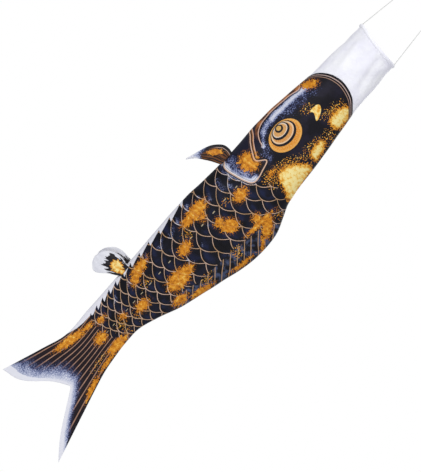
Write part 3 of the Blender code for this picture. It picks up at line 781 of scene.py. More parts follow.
class Effects:
    """The shared effects, each built once."""

    def __init__(self) -> None:
        """Build every group."""
        self.stipple = self.build_stipple()
        self.weave = self.build_weave()
        self.scales = self.build_scales()
        self.oval = self.build_oval()
        self.wear = self.build_wear()
        self.gilding = self.build_gilding()
        self.pale_sky = self.build_pale_sky()

    def build_stipple(self) -> bpy.types.NodeTree:
        """A print edge broken into fine dots: a mask from a depth in millimetres.

        Returns:
            The group.
        """
        tree, s, given, out = new_group(
            "stippled_edge",
            (("Depth", "Float", 0.0), ("Reach", "Float", 4.0), ("Vector", "Vector", None)),
            (("Mask", "Float"),),
        )
        fine = s.noise(given["Vector"], 400.0, 0.0, "2D")
        rough = s.noise(given["Vector"], 150.0, 2.0, "2D")
        both = s.plus(s.times(s.less(fine, 0.5), 3.4), s.times(s.less(rough, 0.5), 2.0))
        depth = s.plus(given["Depth"], s.times(both, given["Reach"]))
        s.feed_all(out, Mask=s.band(depth, -0.5, 0.5))
        return tree

    def build_weave(self) -> bpy.types.NodeTree:
        """Fine crossed threads and soft creases, as a height and a tone.

        Returns:
            The group.
        """
        tree, s, given, out = new_group(
            "nylon_weave",
            (("Vector", "Vector", None), ("Crease", "Float", 1.0)),
            (("Height", "Float"), ("Tone", "Float")),
        )
        x, y = s.split(given["Vector"])
        warp, weft = s.math("SINE", s.times(x, THREADS)), s.math("SINE", s.times(y, THREADS))
        cloth = s.times(s.plus(s.math("ABSOLUTE", warp), s.math("ABSOLUTE", weft)), 0.04)
        soft = s.noise(given["Vector"], 16.0, 3.0, "2D")
        sharp = s.noise(given["Vector"], 55.0, 2.0, "2D")
        fold = s.math("POWER", s.math("ABSOLUTE", s.less(soft, 0.5)), 0.7)
        crease = s.times(s.plus(fold, s.times(sharp, 0.18)), given["Crease"])
        s.feed_all(out, Height=s.plus(cloth, crease), Tone=s.plus(s.times(soft, 0.7), s.times(sharp, 0.3)))
        return tree

    def build_scales(self) -> bpy.types.NodeTree:
        """Overlapping scales from row and column numbers: edge line, depth into the scale and tick.

        Returns:
            The group.
        """
        tree, s, given, out = new_group(
            "scale_rows",
            (("Row", "Float", 0.0), ("Column", "Float", 0.0), ("Pitch", "Float", 16.0)),
            (("Line", "Float"), ("Depth", "Float"), ("Tick", "Float")),
        )
        row, column = given["Row"], given["Column"]
        lines, depths = [], []
        for shift in (0.0, 0.5):
            across = s.times(s.less(s.math("FRACT", s.plus(column, shift)), 0.5), 2.0)
            square = s.times(across, across)
            reach = s.less(1.0, square)
            run = s.times(s.math("FRACT", s.times(s.less(s.less(row, 2 * shift), reach), 0.5)), 2.0)
            left = s.less(2.0, run)
            near = s.math("MINIMUM", run, left)
            steep = s.math("SQRT", s.plus(1.0, s.times(square, 1.25)))
            lines.append(s.math("DIVIDE", s.times(near, given["Pitch"]), steep))
            depths.append(left)
        distance = s.math("MINIMUM", *lines)
        tick_row = s.less(s.math("FRACT", s.plus(s.times(row, 0.5), 0.5)), 0.5)
        tick_row = s.times(s.math("ABSOLUTE", tick_row), s.times(given["Pitch"], 2.0))
        tick_column = s.times(s.math("ABSOLUTE", s.less(column, PLAN.side_column)), 57.0)
        tick = s.times(s.band(tick_row, 3.6, 2.0), s.band(tick_column, 1.4, 0.5))
        s.feed_all(out, Line=distance, Depth=s.math("MINIMUM", *depths), Tick=tick)
        return tree

    def build_oval(self) -> bpy.types.NodeTree:
        """Distance from an oval's middle, 1 on the oval itself.

        Returns:
            The group.
        """
        tree, s, given, out = new_group(
            "oval",
            (
                ("Vector", "Vector", None),
                ("Along", "Float", 0.0),
                ("Across", "Float", 0.0),
                ("Long", "Float", 1.0),
                ("Wide", "Float", 1.0),
            ),
            (("Distance", "Float"),),
        )
        squares = []
        places = s.split(given["Vector"])
        for place, middle, half in zip(places, ("Along", "Across"), ("Long", "Wide")):
            off = s.less(s.times(place, PER_METRE), given[middle])
            share = s.math("DIVIDE", off, given[half])
            squares.append(s.times(share, share))
        s.feed_all(out, Distance=s.math("SQRT", s.plus(*squares)))
        return tree

    def build_wear(self) -> bpy.types.NodeTree:
        """Fine scratches and smudges on metal and moulded parts: a roughness and a height.

        Returns:
            The group.
        """
        tree, s, given, out = new_group(
            "handling_wear",
            (("Vector", "Vector", None), ("Base", "Float", 0.25), ("Spread", "Float", 0.2)),
            (("Roughness", "Float"), ("Height", "Float"), ("Dirt", "Float")),
        )
        stretch = s.add("ShaderNodeMapping")
        stretch.inputs["Scale"].default_value = (1.0, 1.0, 9.0)
        s.feed(stretch.inputs["Vector"], given["Vector"])
        scratches = s.noise(stretch.outputs["Vector"], 900.0, 4.0)
        smudge = s.noise(given["Vector"], 160.0, 3.0)
        spread = s.plus(s.times(scratches, 0.5), s.times(smudge, 0.5))
        swing = s.times(s.less(spread, 0.5), given["Spread"])
        s.feed(out.inputs["Roughness"], s.plus(given["Base"], swing))
        s.feed(out.inputs["Height"], scratches)
        s.feed(out.inputs["Dirt"], s.band(smudge, 0.5, 0.72))
        return tree

    def build_gilding(self) -> bpy.types.NodeTree:
        """The mottled gold inks, from orange at an edge to bright yellow in a pale patch's middle.

        Returns:
            The group.
        """
        tree, s, given, out = new_group(
            "gold_ink",
            (("Vector", "Vector", None), ("Depth", "Float", 0.0), ("Bright", "Float", 0.0)),
            (("Color", "Color"),),
        )
        cloud = s.noise(given["Vector"], 150.0, 4.0, "2D")
        grain = s.noise(given["Vector"], 620.0, 1.0, "2D")
        tone = s.plus(s.times(s.less(cloud, 0.5), 1.3), s.times(s.less(grain, 0.5), 0.55))
        tone = s.plus(tone, s.times(given["Depth"], 0.012))
        tone = s.plus(tone, s.times(given["Bright"], 0.40))
        browns = ((0.0, "86490F"), (0.2, "C27618"), (0.42, "D98A20"))
        yellows = ((0.6, "E9A636"), (0.8, "F8D070"), (1.0, "FEEAA0"))
        colour = s.ramp(s.plus(tone, 0.30), (*browns, *yellows))
        s.feed_all(out, Color=colour)
        return tree

    def build_pale_sky(self) -> bpy.types.NodeTree:
        """The airbrushed run from navy through blue-grey to white, broken into dots.

        Returns:
            The group.
        """
        tree, s, given, out = new_group(
            "airbrush",
            (("Vector", "Vector", None), ("Amount", "Float", 0.0)),
            (("Color", "Color"), ("Mask", "Float")),
        )
        fine = s.noise(given["Vector"], 430.0, 1.0, "2D")
        cloud = s.noise(given["Vector"], 70.0, 2.0, "2D")
        grain = s.plus(s.less(fine, 0.5), s.times(s.less(cloud, 0.5), 0.55))
        amount = s.plus(given["Amount"], s.times(grain, s.band(given["Amount"], 1.1, 0.35)))
        amount = s.less(s.times(amount, 1.12), 0.08)
        colour = s.ramp(
            amount,
            ((0.08, "181B38"), (0.30, "343C64"), (0.54, "7F89B0"), (0.78, "C3C8DD"), (0.97, "ECECF4")),
        )
        s.feed_all(out, Color=colour)
        started = s.band(given["Amount"], 0.0, 0.12)
        s.feed_all(out, Mask=s.times(s.band(amount, 0.04, 0.4), started))
        return tree


# ---------------------------------------------------------------- finishes


class PrintCoat:
    """The print's layers, laid one over another on a sheet of nodes."""

    def __init__(self, finish: PrintFinish, sheet: NodeSheet) -> None:
        """Lay the night-blue ground.

        Args:
            finish: the inks.
            sheet: the sheet that the nodes are laid on.
        """
        self.finish, self.effects = finish, finish.effects
        self.s, self.uv = sheet, sheet.plan()
        self.glow = sheet.group(finish.effects.pale_sky, Vector=self.uv, Amount=sheet.field("glow"))
        cloud = sheet.noise(self.uv, 38.0, 3.0, "2D")
        self.colour = sheet.mix(sheet.band(cloud, 0.35, 0.75), paint(finish.night), paint(finish.navy))

    def lay(self, mask: Socket, over: Socket | str) -> None:
        """Lay a colour over what is printed so far."""
        self.colour = self.s.mix(mask, self.colour, paint(over) if isinstance(over, str) else over)

    def layers(self) -> Socket:
        """Lay everything in printing order.

        Returns:
            The finished colour.
        """
        self.scale_print()
        self.dorsal_print()
        self.tail_print()
        self.head_print()
        self.gold_print()
        self.late_lines()
        self.eye_print()
        self.edges()
        return self.colour

    def scale_print(self) -> None:
        """The scales: a sheen in each, a shadow under the one before, and a tick on the side line."""
        s, uv, glow = self.s, self.uv, self.glow
        rows = self.scale_rows()
        depth = rows.outputs["Depth"]
        sheen = s.times(s.band(depth, 0.05, 0.55), s.band(depth, 1.35, 0.6))
        patchy = s.band(s.noise(uv, 34.0, 2.0, "2D"), 0.42, 0.66)
        self.lay(s.times(s.times(sheen, patchy), 0.75), "1D2444")
        shadow = s.band(depth, 1.1, 1.9)
        self.lay(s.times(shadow, 0.75), "0B0A12")
        rim = s.times(s.band(depth, 0.55, 0.1), s.times(glow.outputs["Mask"], 0.9))
        self.lay(rim, glow.outputs["Color"])
        middle = s.times(s.band(depth, 0.9, 0.3), s.times(glow.outputs["Mask"], 0.5))
        self.lay(middle, glow.outputs["Color"])
        self.lay(s.times(rows.outputs["Tick"], 0.8), "CDBE9C")

    def scale_rows(self) -> Node:
        """The scales' own group, fed with a pitch in millimetres that shrinks towards the tail.

        Returns:
            The node.
        """
        s = self.s
        x, _ = s.split(self.uv)
        pitch = s.plus(9.0, s.times(s.band(x, 0.72, 0.5), 7.0))
        return s.group(self.effects.scales, Row=s.field("row"), Column=s.field("column"), Pitch=pitch)

    def dorsal_print(self) -> None:
        """The fin printed along the back, with slanting rays."""
        s, uv = self.s, self.uv
        depth = s.field("dorsal")
        x, y = s.split(uv)
        wobble = s.times(s.less(s.noise(uv, 22.0, 1.0, "2D"), 0.5), 0.5)
        ray = s.plus(s.less(s.times(x, 47.0), s.times(y, 59.0)), wobble)
        off = s.times(s.less(s.math("FRACT", ray), 0.5), 14.0)
        inside = s.band(depth, -0.6, 0.6)
        base = s.mix(s.band(s.noise(uv, 90.0, 3.0, "2D"), 0.42, 0.68), paint("110F17"), paint("46506E"))
        self.lay(inside, base)
        beside = s.less(off, 1.9)
        self.lay(s.times(inside, s.times(s.line(beside, 1.6), 0.7)), "0B0A12")
        self.lay(s.times(inside, s.times(s.line(off, 1.6), 0.85)), self.finish.line)

    def tail_print(self) -> None:
        """The tail's fine rays."""
        s, uv = self.s, self.uv
        inside = s.band(s.field("tail"), -1.5, 1.5)
        share = s.field("share")
        ray = s.math("FRACT", s.times(s.plus(share, 1.0), 6.6))
        off = s.math("ABSOLUTE", s.less(ray, 0.5))
        base = s.mix(s.noise(uv, 60.0, 3.0, "2D"), paint("191117"), paint("2B1F24"))
        self.lay(inside, base)
        dark = s.band(s.math("ABSOLUTE", s.less(off, 0.2)), 0.12, 0.02)
        self.lay(s.times(inside, s.times(dark, 0.8)), "100C14")
        thin = s.times(s.band(off, 0.14, 0.05), s.plus(0.5, s.times(s.noise(uv, 60.0, 2.0, "2D"), 0.7)))
        self.lay(s.times(inside, thin), "B98F78")

    def head_print(self) -> None:
        """Head ground, airbrushed band, jowl and gill cover."""
        s, uv, glow = self.s, self.uv, self.glow
        inside = s.band(s.field("head"), -0.5, 0.5)
        cloud = s.noise(uv, 30.0, 3.0, "2D")
        base = s.mix(s.band(cloud, 0.4, 0.7), paint("131119"), paint("1F1C2B"))
        base = s.mix(glow.outputs["Mask"], base, glow.outputs["Color"])
        self.lay(inside, base)
        jowl = s.field("jowl")
        fill = s.band(s.noise(uv, 60.0, 2.0, "2D"), 0.3, 0.7)
        ridge = s.mix(fill, paint("4A2A1C"), paint("B4703A"))
        x, y = s.split(uv)
        low = s.band(x, 0.296, 0.286)
        within = s.band(jowl, 0.2, 1.2)
        self.lay(s.times(within, s.times(s.band(jowl, 9.0, 5.0), low)), ridge)
        self.lay(s.times(within, s.band(x, 0.268, 0.29)), "1A1A2C")
        self.lay(s.times(s.line(s.less(jowl, 0.8), 1.8), low), "D9B19C")
        self.lay(s.times(s.line(s.plus(jowl, 1.6), 2.0), s.times(low, 0.8)), "120E16")
        gill = s.field("gill")
        fore = s.times(s.band(x, 0.324, 0.318), s.band(y, -0.026, -0.032))
        band = s.times(s.band(gill, -6.4, -5.4), s.band(gill, 0.0, -0.8))
        self.lay(s.times(band, fore), s.mix(fill, paint("6B3C22"), paint("C98A4C")))
        self.lay(s.times(s.line(s.plus(gill, 6.0), 1.6), fore), "D8AE98")

    def gold_print(self) -> None:
        """Gold bursts, bright patches and loose specks."""
        s, uv = self.s, self.uv
        gold, pale, speck = s.field("gold"), s.field("pale"), s.field("speck")
        fine = s.noise(uv, 430.0, 0.0, "2D")
        dots = s.band(s.plus(s.times(speck, 0.09), fine), 0.68, 0.73)
        ink = s.group(self.effects.gilding, Vector=uv, Depth=0.0, Bright=0.6)
        self.lay(s.times(dots, s.band(speck, -0.9, -0.3)), ink.outputs["Color"])
        haze = s.times(s.band(gold, -9.0, -1.0), s.band(fine, 0.56, 0.70))
        self.lay(s.times(haze, 0.8), "B56D1C")
        burst = s.group(self.effects.stipple, Depth=gold, Reach=4.2, Vector=uv)
        ink = s.group(self.effects.gilding, Vector=uv, Depth=gold, Bright=0.0)
        self.lay(burst.outputs["Mask"], ink.outputs["Color"])
        bright = s.group(self.effects.stipple, Depth=pale, Reach=4.0, Vector=uv)
        gleam = s.times(s.band(pale, -3.0, 10.0), 1.3)
        ink = s.group(self.effects.gilding, Vector=uv, Depth=pale, Bright=gleam)
        self.lay(bright.outputs["Mask"], ink.outputs["Color"])

    def late_lines(self) -> None:
        """The scales' edge lines, the gill cover's outline and the nostril, which lie over the gold."""
        s, uv, glow = self.s, self.uv, self.glow
        rows = self.scale_rows()
        outside = s.math("MINIMUM", s.band(s.field("head"), 0.5, -0.5), s.band(s.field("dorsal"), 0.6, -0.6))
        outside = s.math("MINIMUM", outside, s.band(s.field("tail"), 1.5, -1.5))
        cloud = s.band(s.noise(uv, 45.0, 2.0, "2D"), 0.35, 0.65)
        tint = s.mix(cloud, paint(self.finish.line), paint(self.finish.rose))
        tint = s.mix(s.times(glow.outputs["Mask"], 0.75), tint, paint("E6E4EC"))
        over = s.band(s.field("gold"), 2.5, -1.0)
        over = s.plus(0.12, s.times(over, 0.83))
        edge = s.times(s.line(rows.outputs["Line"], 1.15, 0.4), s.times(outside, over))
        beside = s.line(s.less(rows.outputs["Line"], 1.6), 1.5, 0.6)
        beside = s.times(beside, s.times(outside, s.times(over, 0.6)))
        self.lay(beside, "100B10")
        self.lay(edge, tint)
        gill = s.field("gill")
        rim = s.times(s.band(gill, -0.4, 0.4), s.times(glow.outputs["Mask"], s.band(gill, 10.0, 5.0)))
        self.lay(rim, glow.outputs["Color"])
        inner = s.times(s.line(s.less(gill, 3.4), 1.8), s.band(s.field("jowl"), -22.0, -8.0))
        self.lay(inner, "3A2A2C")
        self.lay(s.line(gill, 2.2), "D9B49A")
        self.lay(s.times(s.line(s.plus(gill, 2.4), 2.2), 0.9), "17121B")
        nose = s.field("nostril")
        ink = s.group(self.effects.gilding, Vector=uv, Depth=nose, Bright=1.1)
        self.lay(s.band(nose, -0.4, 0.3), ink.outputs["Color"])

    def eye_print(self) -> None:
        """The eye: gold and black rings that crowd towards the belly."""
        s, uv = self.s, self.uv
        rings = (
            (246.2, -17.0, 37.8, 29.4, "15131C", "15131C"),
            (246.2, -17.0, 36.0, 27.6, "E8A545", "DE8F28"),
            (245.8, -22.4, 28.2, 21.2, "15131C", "15131C"),
            (245.8, -24.6, 24.8, 18.2, "EBC9A6", "D4904A"),
            (245.8, -29.0, 19.8, 13.8, "15131C", "15131C"),
            (245.6, -31.0, 16.4, 11.0, "E9D9CB", "D39A5A"),
            (244.6, -34.8, 8.6, 7.4, "17141D", "17141D"),
            (244.4, -35.8, 5.0, 4.4, "E4B766", "D3A14A"),
        )
        grain = s.noise(uv, 420.0, 2.0, "2D")
        for along, across, long, wide, rim, core in rings:
            oval = s.group(self.effects.oval, Vector=uv, Along=along, Across=across, Long=long, Wide=wide)
            far = oval.outputs["Distance"]
            soft = 0.5 / long
            fill = s.mix(s.band(far, 0.93, 0.84), paint(rim), paint(core))
            if rim != core:
                fill = s.mix(s.times(s.band(grain, 0.42, 0.7), 0.45), fill, paint("F1C98B"))
            self.lay(s.band(far, 1 + soft, 1 - soft), fill)

    def edges(self) -> None:
        """Lip lines, the pale tail with its dark rim, and the toothed belly strip."""
        s, uv, glow = self.s, self.uv, self.glow
        lip = s.field("lip")
        for start, width, code in (
            (2.2, 5.2, "0F0D14"),
            (5.3, 1.7, "C9AFA6"),
            (8.2, 4.2, "120F17"),
            (10.0, 1.5, "A98775"),
            (11.6, 1.6, "120F17"),
        ):
            self.lay(s.line(s.less(lip, start), width, 0.4), code)
        share = s.field("share")
        tail = s.band(s.field("tail"), 10.0, 30.0)
        self.lay(s.times(s.band(s.field("glow"), 0.0, 0.62), tail), glow.outputs["Color"])
        dark = s.times(tail, s.band(s.field("glow"), 0.75, 0.4))
        rim = s.times(s.band(s.math("ABSOLUTE", share), 0.955, 0.975), dark)
        self.lay(rim, "14111C")
        x, _ = s.split(uv)
        tooth = s.less(s.times(s.math("FRACT", s.plus(s.times(s.field("row"), 0.5), 0.35)), 7.5), 3.4)
        tooth = s.times(tooth, s.band(x, 0.752, 0.742))
        strip = s.band(s.plus(s.field("belly"), tooth), -0.5, 0.5)
        white = s.mix(s.noise(uv, 55.0, 3.0, "2D"), paint("DFDFE8"), paint("F4F3FA"))
        self.lay(strip, white)


@dataclass(frozen=True)
class PrintFinish:
    """Printed nylon: the carp's colours on thin glossy cloth."""

    effects: Effects
    name: str = "printed_nylon_skin"
    reverse: bool = False
    roughness: float = 0.5
    specular: float = 0.16
    night: str = "0C0B11"
    navy: str = "141628"
    line: str = "C8A078"
    rose: str = "E0BEA8"

    def make(self) -> Material:
        """Build the material.

        Returns:
            The material.
        """
        made, s, shader = new_material(self.name)
        coat = PrintCoat(self, s)
        colour = coat.layers()
        weave = s.group(self.effects.weave, Vector=coat.uv, Crease=1.0)
        if self.reverse:
            colour = s.mix(0.42, colour, paint("C9CBD6"))
        rough = s.plus(self.roughness - 0.1, s.times(weave.outputs["Tone"], 0.22))
        s.feed_all(shader, Base_Color=colour, Roughness=rough, Specular_IOR_Level=self.specular)
        s.relief(shader, weave.outputs["Height"], 0.3, 0.0015)
        return made


def new_material(name: str) -> tuple[Material, NodeSheet, Node]:
    """A new material, a sheet for its nodes and its own surface shader.

    Args:
        name: its name.

    Returns:
        The material, its sheet and its shader.
    """
    made = bpy.data.materials.new(name)
    made.use_nodes = True
    shader = made.node_tree.nodes["Principled BSDF"]
    sheet = NodeSheet(made.node_tree)
    sheet.laid = 14
    return made, sheet, shader


@dataclass(frozen=True)
class WhiteNylonFinish:
    """Plain white nylon, thin and a little see-through, with a faint painted glow that stands in for light
    shining through it.
    """

    effects: Effects
    name: str = "white_nylon_cloth"
    alpha: float = 0.97
    through: float = 0.07

    def make(self) -> Material:
        """Build the material.

        Returns:
            The material.
        """
        made, s, shader = new_material(self.name)
        uv = s.plan()
        weave = s.group(self.effects.weave, Vector=uv, Crease=2.2)
        shade = s.band(weave.outputs["Tone"], 0.3, 0.7)
        colour = s.mix(shade, paint("F1F0FA"), paint("FDFDFF"))
        rough = s.plus(0.42, s.times(weave.outputs["Tone"], 0.2))
        s.feed_all(shader, Base_Color=colour, Roughness=rough, Specular_IOR_Level=0.4, Alpha=self.alpha)
        # Painted glow: a faint near-white emission in place of lamp light shining through the thin cloth.
        s.feed_all(shader, Sheen_Weight=0.15, Emission_Color=paint("F4F2FF"), Emission_Strength=self.through)
        s.relief(shader, weave.outputs["Height"], 0.45, 0.003)
        return made


@dataclass(frozen=True)
class FinFinish:
    """Printed fin cloth; the two kinds of fin differ in their print."""

    effects: Effects
    pectoral: bool
    name: str = "fin_nylon_cloth"

    def make(self) -> Material:
        """Build the material.

        Returns:
            The material.
        """
        made, s, shader = new_material(self.name)
        uv = s.plan()
        colour = self.pectoral_print(s, uv) if self.pectoral else self.pelvic_print(s, uv)
        weave = s.group(self.effects.weave, Vector=uv, Crease=0.8)
        rough = s.plus(0.42, s.times(weave.outputs["Tone"], 0.2))
        s.feed_all(shader, Base_Color=colour, Roughness=rough, Specular_IOR_Level=0.3)
        s.relief(shader, weave.outputs["Height"], 0.35, 0.0015)
        return made

    def pectoral_print(self, s: NodeSheet, uv: Socket) -> Socket:
        """Dark fin with a pale inner line, a gold heart and a white tip.

        Args:
            s: the sheet that the nodes are laid on.
            uv: each point's place on the plan.

        Returns:
            The colour.
        """
        front, tip = s.field("front"), s.field("tip")
        streak = self.streaks(s)
        colour = s.mix(s.band(streak, 0.42, 0.62), paint("140F14"), paint("74441F"))
        gold = s.group(self.effects.stipple, Depth=s.field("gold"), Reach=2.2, Vector=uv)
        ink = s.group(self.effects.gilding, Vector=uv, Depth=s.field("gold"), Bright=0.1)
        colour = s.mix(gold.outputs["Mask"], colour, ink.outputs["Color"])
        colour = s.mix(s.band(front, 6.2, 5.0), colour, paint("16121A"))
        inner = s.times(s.line(s.less(front, 5.6), 1.3), s.band(tip, 22.0, 32.0))
        colour = s.mix(inner, colour, paint("B89C8C"))
        air = s.group(self.effects.pale_sky, Vector=uv, Amount=s.field("glow"))
        return s.mix(air.outputs["Mask"], colour, air.outputs["Color"])

    def streaks(self, s: NodeSheet) -> Socket:
        """Noise drawn out along the fin's rays.

        Args:
            s: the sheet that the nodes are laid on.

        Returns:
            The result.
        """
        turn = s.add("ShaderNodeCombineXYZ")
        s.feed(turn.inputs["X"], s.times(s.field("ray"), 6.0))
        s.feed(turn.inputs["Y"], s.times(s.field("reach"), 1.2))
        return s.noise(turn.outputs["Vector"], 2.2, 2.0, "2D")

    def pelvic_print(self, s: NodeSheet, uv: Socket) -> Socket:
        """White fin with black strokes round a pale gold heart near its root.

        Args:
            s: the sheet that the nodes are laid on.
            uv: each point's place on the plan.

        Returns:
            The colour.
        """
        printed, gold = s.field("print"), s.field("gold")
        streak = self.streaks(s)
        white = s.mix(s.noise(uv, 60.0, 3.0, "2D"), paint("D9DAE4"), paint("F5F5F9"))
        depth = s.plus(printed, s.times(s.less(streak, 0.5), 26.0))
        colour = s.mix(s.band(depth, -0.8, 0.8), white, paint("17131A"))
        heart = s.plus(gold, s.times(s.less(streak, 0.5), 10.0))
        gleam = s.times(s.band(gold, -2.0, 5.0), 1.3)
        ink = s.group(self.effects.gilding, Vector=uv, Depth=gold, Bright=gleam)
        return s.mix(s.band(heart, -0.6, 0.6), colour, ink.outputs["Color"])


@dataclass(frozen=True)
class CordFinish:
    """Twisted white polyester cord, with painted shade in the grooves between its strands."""

    effects: Effects
    name: str = "bridle_cord_fibre"

    def make(self) -> Material:
        """Build the material.

        Returns:
            The material.
        """
        made, s, shader = new_material(self.name)
        uv = s.plan()
        along, around = s.split(uv)
        twist = s.math("SINE", s.plus(s.times(along, 9000.0), s.times(around, 18.85)))
        fibre = s.noise(uv, 1500.0, 3.0, "2D")
        # Painted shade: darker in the grooves between the strands (the twist), mixed with the fibres' own
        # random tone.
        light = s.band(s.plus(s.times(twist, 0.25), fibre), 0.3, 0.8)
        colour = s.mix(light, paint("CFCFCC"), paint("F3F3F0"))
        s.feed_all(shader, Base_Color=colour, Roughness=s.plus(0.6, s.times(fibre, 0.25)), Sheen_Weight=0.3)
        s.relief(shader, s.plus(s.times(twist, 0.4), fibre), 0.5, 0.0002)
        return made


@dataclass(frozen=True)
class HardFinish:
    """Metal or moulded plastic with handling wear."""

    effects: Effects
    name: str
    clean: str
    worn: str
    metallic: float
    base: float
    spread: float = 0.2

    def make(self) -> Material:
        """Build the material.

        Returns:
            The material.
        """
        made, s, shader = new_material(self.name)
        where = s.add("ShaderNodeTexCoord").outputs["Object"]
        wear = s.group(self.effects.wear, Vector=where, Base=self.base, Spread=self.spread)
        colour = s.mix(s.times(wear.outputs["Dirt"], 0.6), paint(self.clean), paint(self.worn))
        s.feed_all(shader, Base_Color=colour, Roughness=wear.outputs["Roughness"], Metallic=self.metallic)
        s.relief(shader, wear.outputs["Height"], 0.12, 0.0001)
        return made


# ---------------------------------------------------------------- mesh helpers


def finished(name: str, shape: Shape, materials: Sequence[Material]) -> Piece:
    """Turn a bmesh into a smooth object at the origin.

    Args:
        name: the piece's name.
        shape: the mesh in the streamer's own frame; it is freed.
        materials: the piece's material slots in order.

    Returns:
        The new object.
    """
    mesh = bpy.data.meshes.new(name)
    shape.to_mesh(mesh)
    shape.free()
    mesh.shade_smooth()
    for item in materials:
        mesh.materials.append(item)
    made = bpy.data.objects.new(name, mesh)
    bpy.context.scene.collection.objects.link(made)
    LOG.info("made %s", name)
    return made


def write_fields(mesh: bpy.types.Mesh, fields: dict[str, np.ndarray]) -> None:
    """Store one value a vertex for each field.

    Args:
        mesh: the mesh.
        fields: values by name, one a vertex.
    """
    for name, values in fields.items():
        layer = mesh.attributes.new(name, "FLOAT", "POINT")
        layer.data.foreach_set("value", np.asarray(values, np.float32))


def write_plan(mesh: bpy.types.Mesh, u: np.ndarray, v: np.ndarray) -> None:
    """Store the print plan, in metres, as the piece's own map.

    Args:
        mesh: the mesh.
        u: distance along.
        v: distance across.
    """
    layer = mesh.uv_layers.new(name="plan")
    index = np.zeros(len(mesh.loops), np.int32)
    mesh.loops.foreach_get("vertex_index", index)
    layer.uv.foreach_set("vector", np.column_stack([u[index], v[index]]).astype(np.float32).ravel())


def cloth_grid(rows: int, columns: int) -> tuple[Shape, np.ndarray, np.ndarray]:
    """A flat grid and where each of its points lies: down its length and round its girth, 0 to 1.

    Args:
        rows: rows down its length.
        columns: columns round its girth.

    Returns:
        The grid, and each point's two shares.
    """
    shape = bmesh.new()
    bmesh.ops.create_grid(shape, x_segments=rows, y_segments=columns, size=0.5)
    flat = np.array([v.co[:2] for v in shape.verts]) + 0.5
    return shape, flat[:, 0], flat[:, 1]


def lay_points(shape: Shape, points: np.ndarray) -> None:
    """Move every point of a grid to its place."""
    for vert, point in zip(shape.verts, points):
        vert.co = point


def face_outwards(shape: Shape, outward: Vector) -> None:
    """Turn a sheet's faces so that most look in the given direction.

    Args:
        shape: the sheet.
        outward: the direction.
    """
    shape.normal_update()
    if sum(f.normal.dot(outward) * f.calc_area() for f in shape.faces) < 0:
        bmesh.ops.reverse_faces(shape, faces=shape.faces)


def sheet_area(shape: Shape) -> float:
    """Area of a sheet that is one layer thick."""
    return sum(f.calc_area() for f in shape.faces)


def thicken(piece: Piece, thickness: float, inner_slot: int = 0, offset: float = -1.0) -> None:
    """Give a sheet its thickness, inwards or about its middle.

    Args:
        piece: the piece.
        thickness: the cloth's thickness.
        inner_slot: material slots to skip on the inner face.
        offset: -1 to grow inwards and 0 to grow both ways.
    """
    step = piece.modifiers.new("cloth", "SOLIDIFY")
    step.thickness = thickness
    step.offset = offset
    step.material_offset = inner_slot
    step.use_even_offset = False


def stand_in(piece: Piece, body: str, node: str) -> None:
    """Let a piece ride a body in the place of a CAD node.

    Args:
        piece: the piece.
        body: the body that it rides.
        node: the node that it replaces.
    """
    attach(piece, body)
    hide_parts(node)


def frames_on(path: Sequence[Vector], closed: bool) -> list[Matrix]:
    """A frame at each point of a path, with Z along it, that never twists more than it must.

    Args:
        path: the centreline.
        closed: whether the last point joins the first.

    Returns:
        One frame a point.
    """
    count = len(path)
    tangents = []
    for i in range(count):
        before = path[(i - 1) % count] if closed or i > 0 else path[i]
        after = path[(i + 1) % count] if closed or i < count - 1 else path[i]
        tangents.append((after - before).normalized())
    side = tangents[0].orthogonal().normalized()
    made = []
    for point, tangent in zip(path, tangents):
        side = (side - tangent * side.dot(tangent)).normalized()
        other = tangent.cross(side)
        basis = Matrix((side, other, tangent)).transposed().to_4x4()
        made.append(Matrix.Translation(point) @ basis)
    return made


Sweep = tuple[Shape, np.ndarray, np.ndarray]


def swept(
    path: Sequence[Vector],
    radius: float,
    sides: int = 12,
    closed: bool = False,
    strands: int = 0,
    lay: float = CORD_LAY,
) -> Sweep:
    """A round or a laid cord along a path.

    Args:
        path: the centreline.
        radius: the cord's radius.
        sides: points round it.
        closed: whether the path returns to its start.
        strands: strands that show on its surface, or 0 for a plain round.
        lay: length in which a strand goes once round.

    Returns:
        The mesh, and each point's place along and round it.
    """
    shape = bmesh.new()
    frames = frames_on(path, closed)
    runs = [0.0]
    for a, b in zip(path, path[1:]):
        runs.append(runs[-1] + (b - a).length)
    turns = [2 * math.pi * run / lay if strands else 0.0 for run in runs]
    if strands and closed:
        whole = round(runs[-1] / lay * strands) / strands
        turns = [2 * math.pi * whole * run / runs[-1] for run in runs]
    ring = bmesh.ops.create_circle(shape, cap_ends=False, radius=radius, segments=sides)["verts"]
    for vert in ring:
        angle = math.atan2(vert.co.y, vert.co.x)
        vert.co *= 1 - (0.12 * (1 - math.cos(strands * angle)) if strands else 0.0)
    stands = [frame @ Matrix.Rotation(turn, 4, "Z") for frame, turn in zip(frames, turns)]
    bmesh.ops.transform(shape, matrix=stands[0], verts=ring)
    first = edges = list({e for v in ring for e in v.link_edges})
    place = {v: (0.0, 0) for v in ring}
    rounds = {v: math.atan2(*(stands[0].inverted() @ v.co).yx) / (2 * math.pi) % 1 for v in ring}
    for k in range(1, len(stands)):
        grown = bmesh.ops.extrude_edge_only(shape, edges=edges)["geom"]
        fresh = [g for g in grown if isinstance(g, bmesh.types.BMVert)]
        edges = [g for g in grown if isinstance(g, bmesh.types.BMEdge)]
        bmesh.ops.transform(shape, matrix=stands[k] @ stands[k - 1].inverted(), verts=fresh)
        back = stands[k].inverted()
        for vert in fresh:
            place[vert] = (runs[k], k)
            rounds[vert] = math.atan2(*(back @ vert.co).yx) / (2 * math.pi) % 1
    if closed:
        bmesh.ops.bridge_loops(shape, edges=[*edges, *first])
    else:
        bmesh.ops.contextual_create(shape, geom=edges)
        bmesh.ops.contextual_create(shape, geom=first)
    bmesh.ops.recalc_face_normals(shape, faces=shape.faces)
    shape.verts.index_update()
    ordered = list(shape.verts)
    return shape, np.array([place[v][0] for v in ordered]), np.array([rounds[v] for v in ordered])


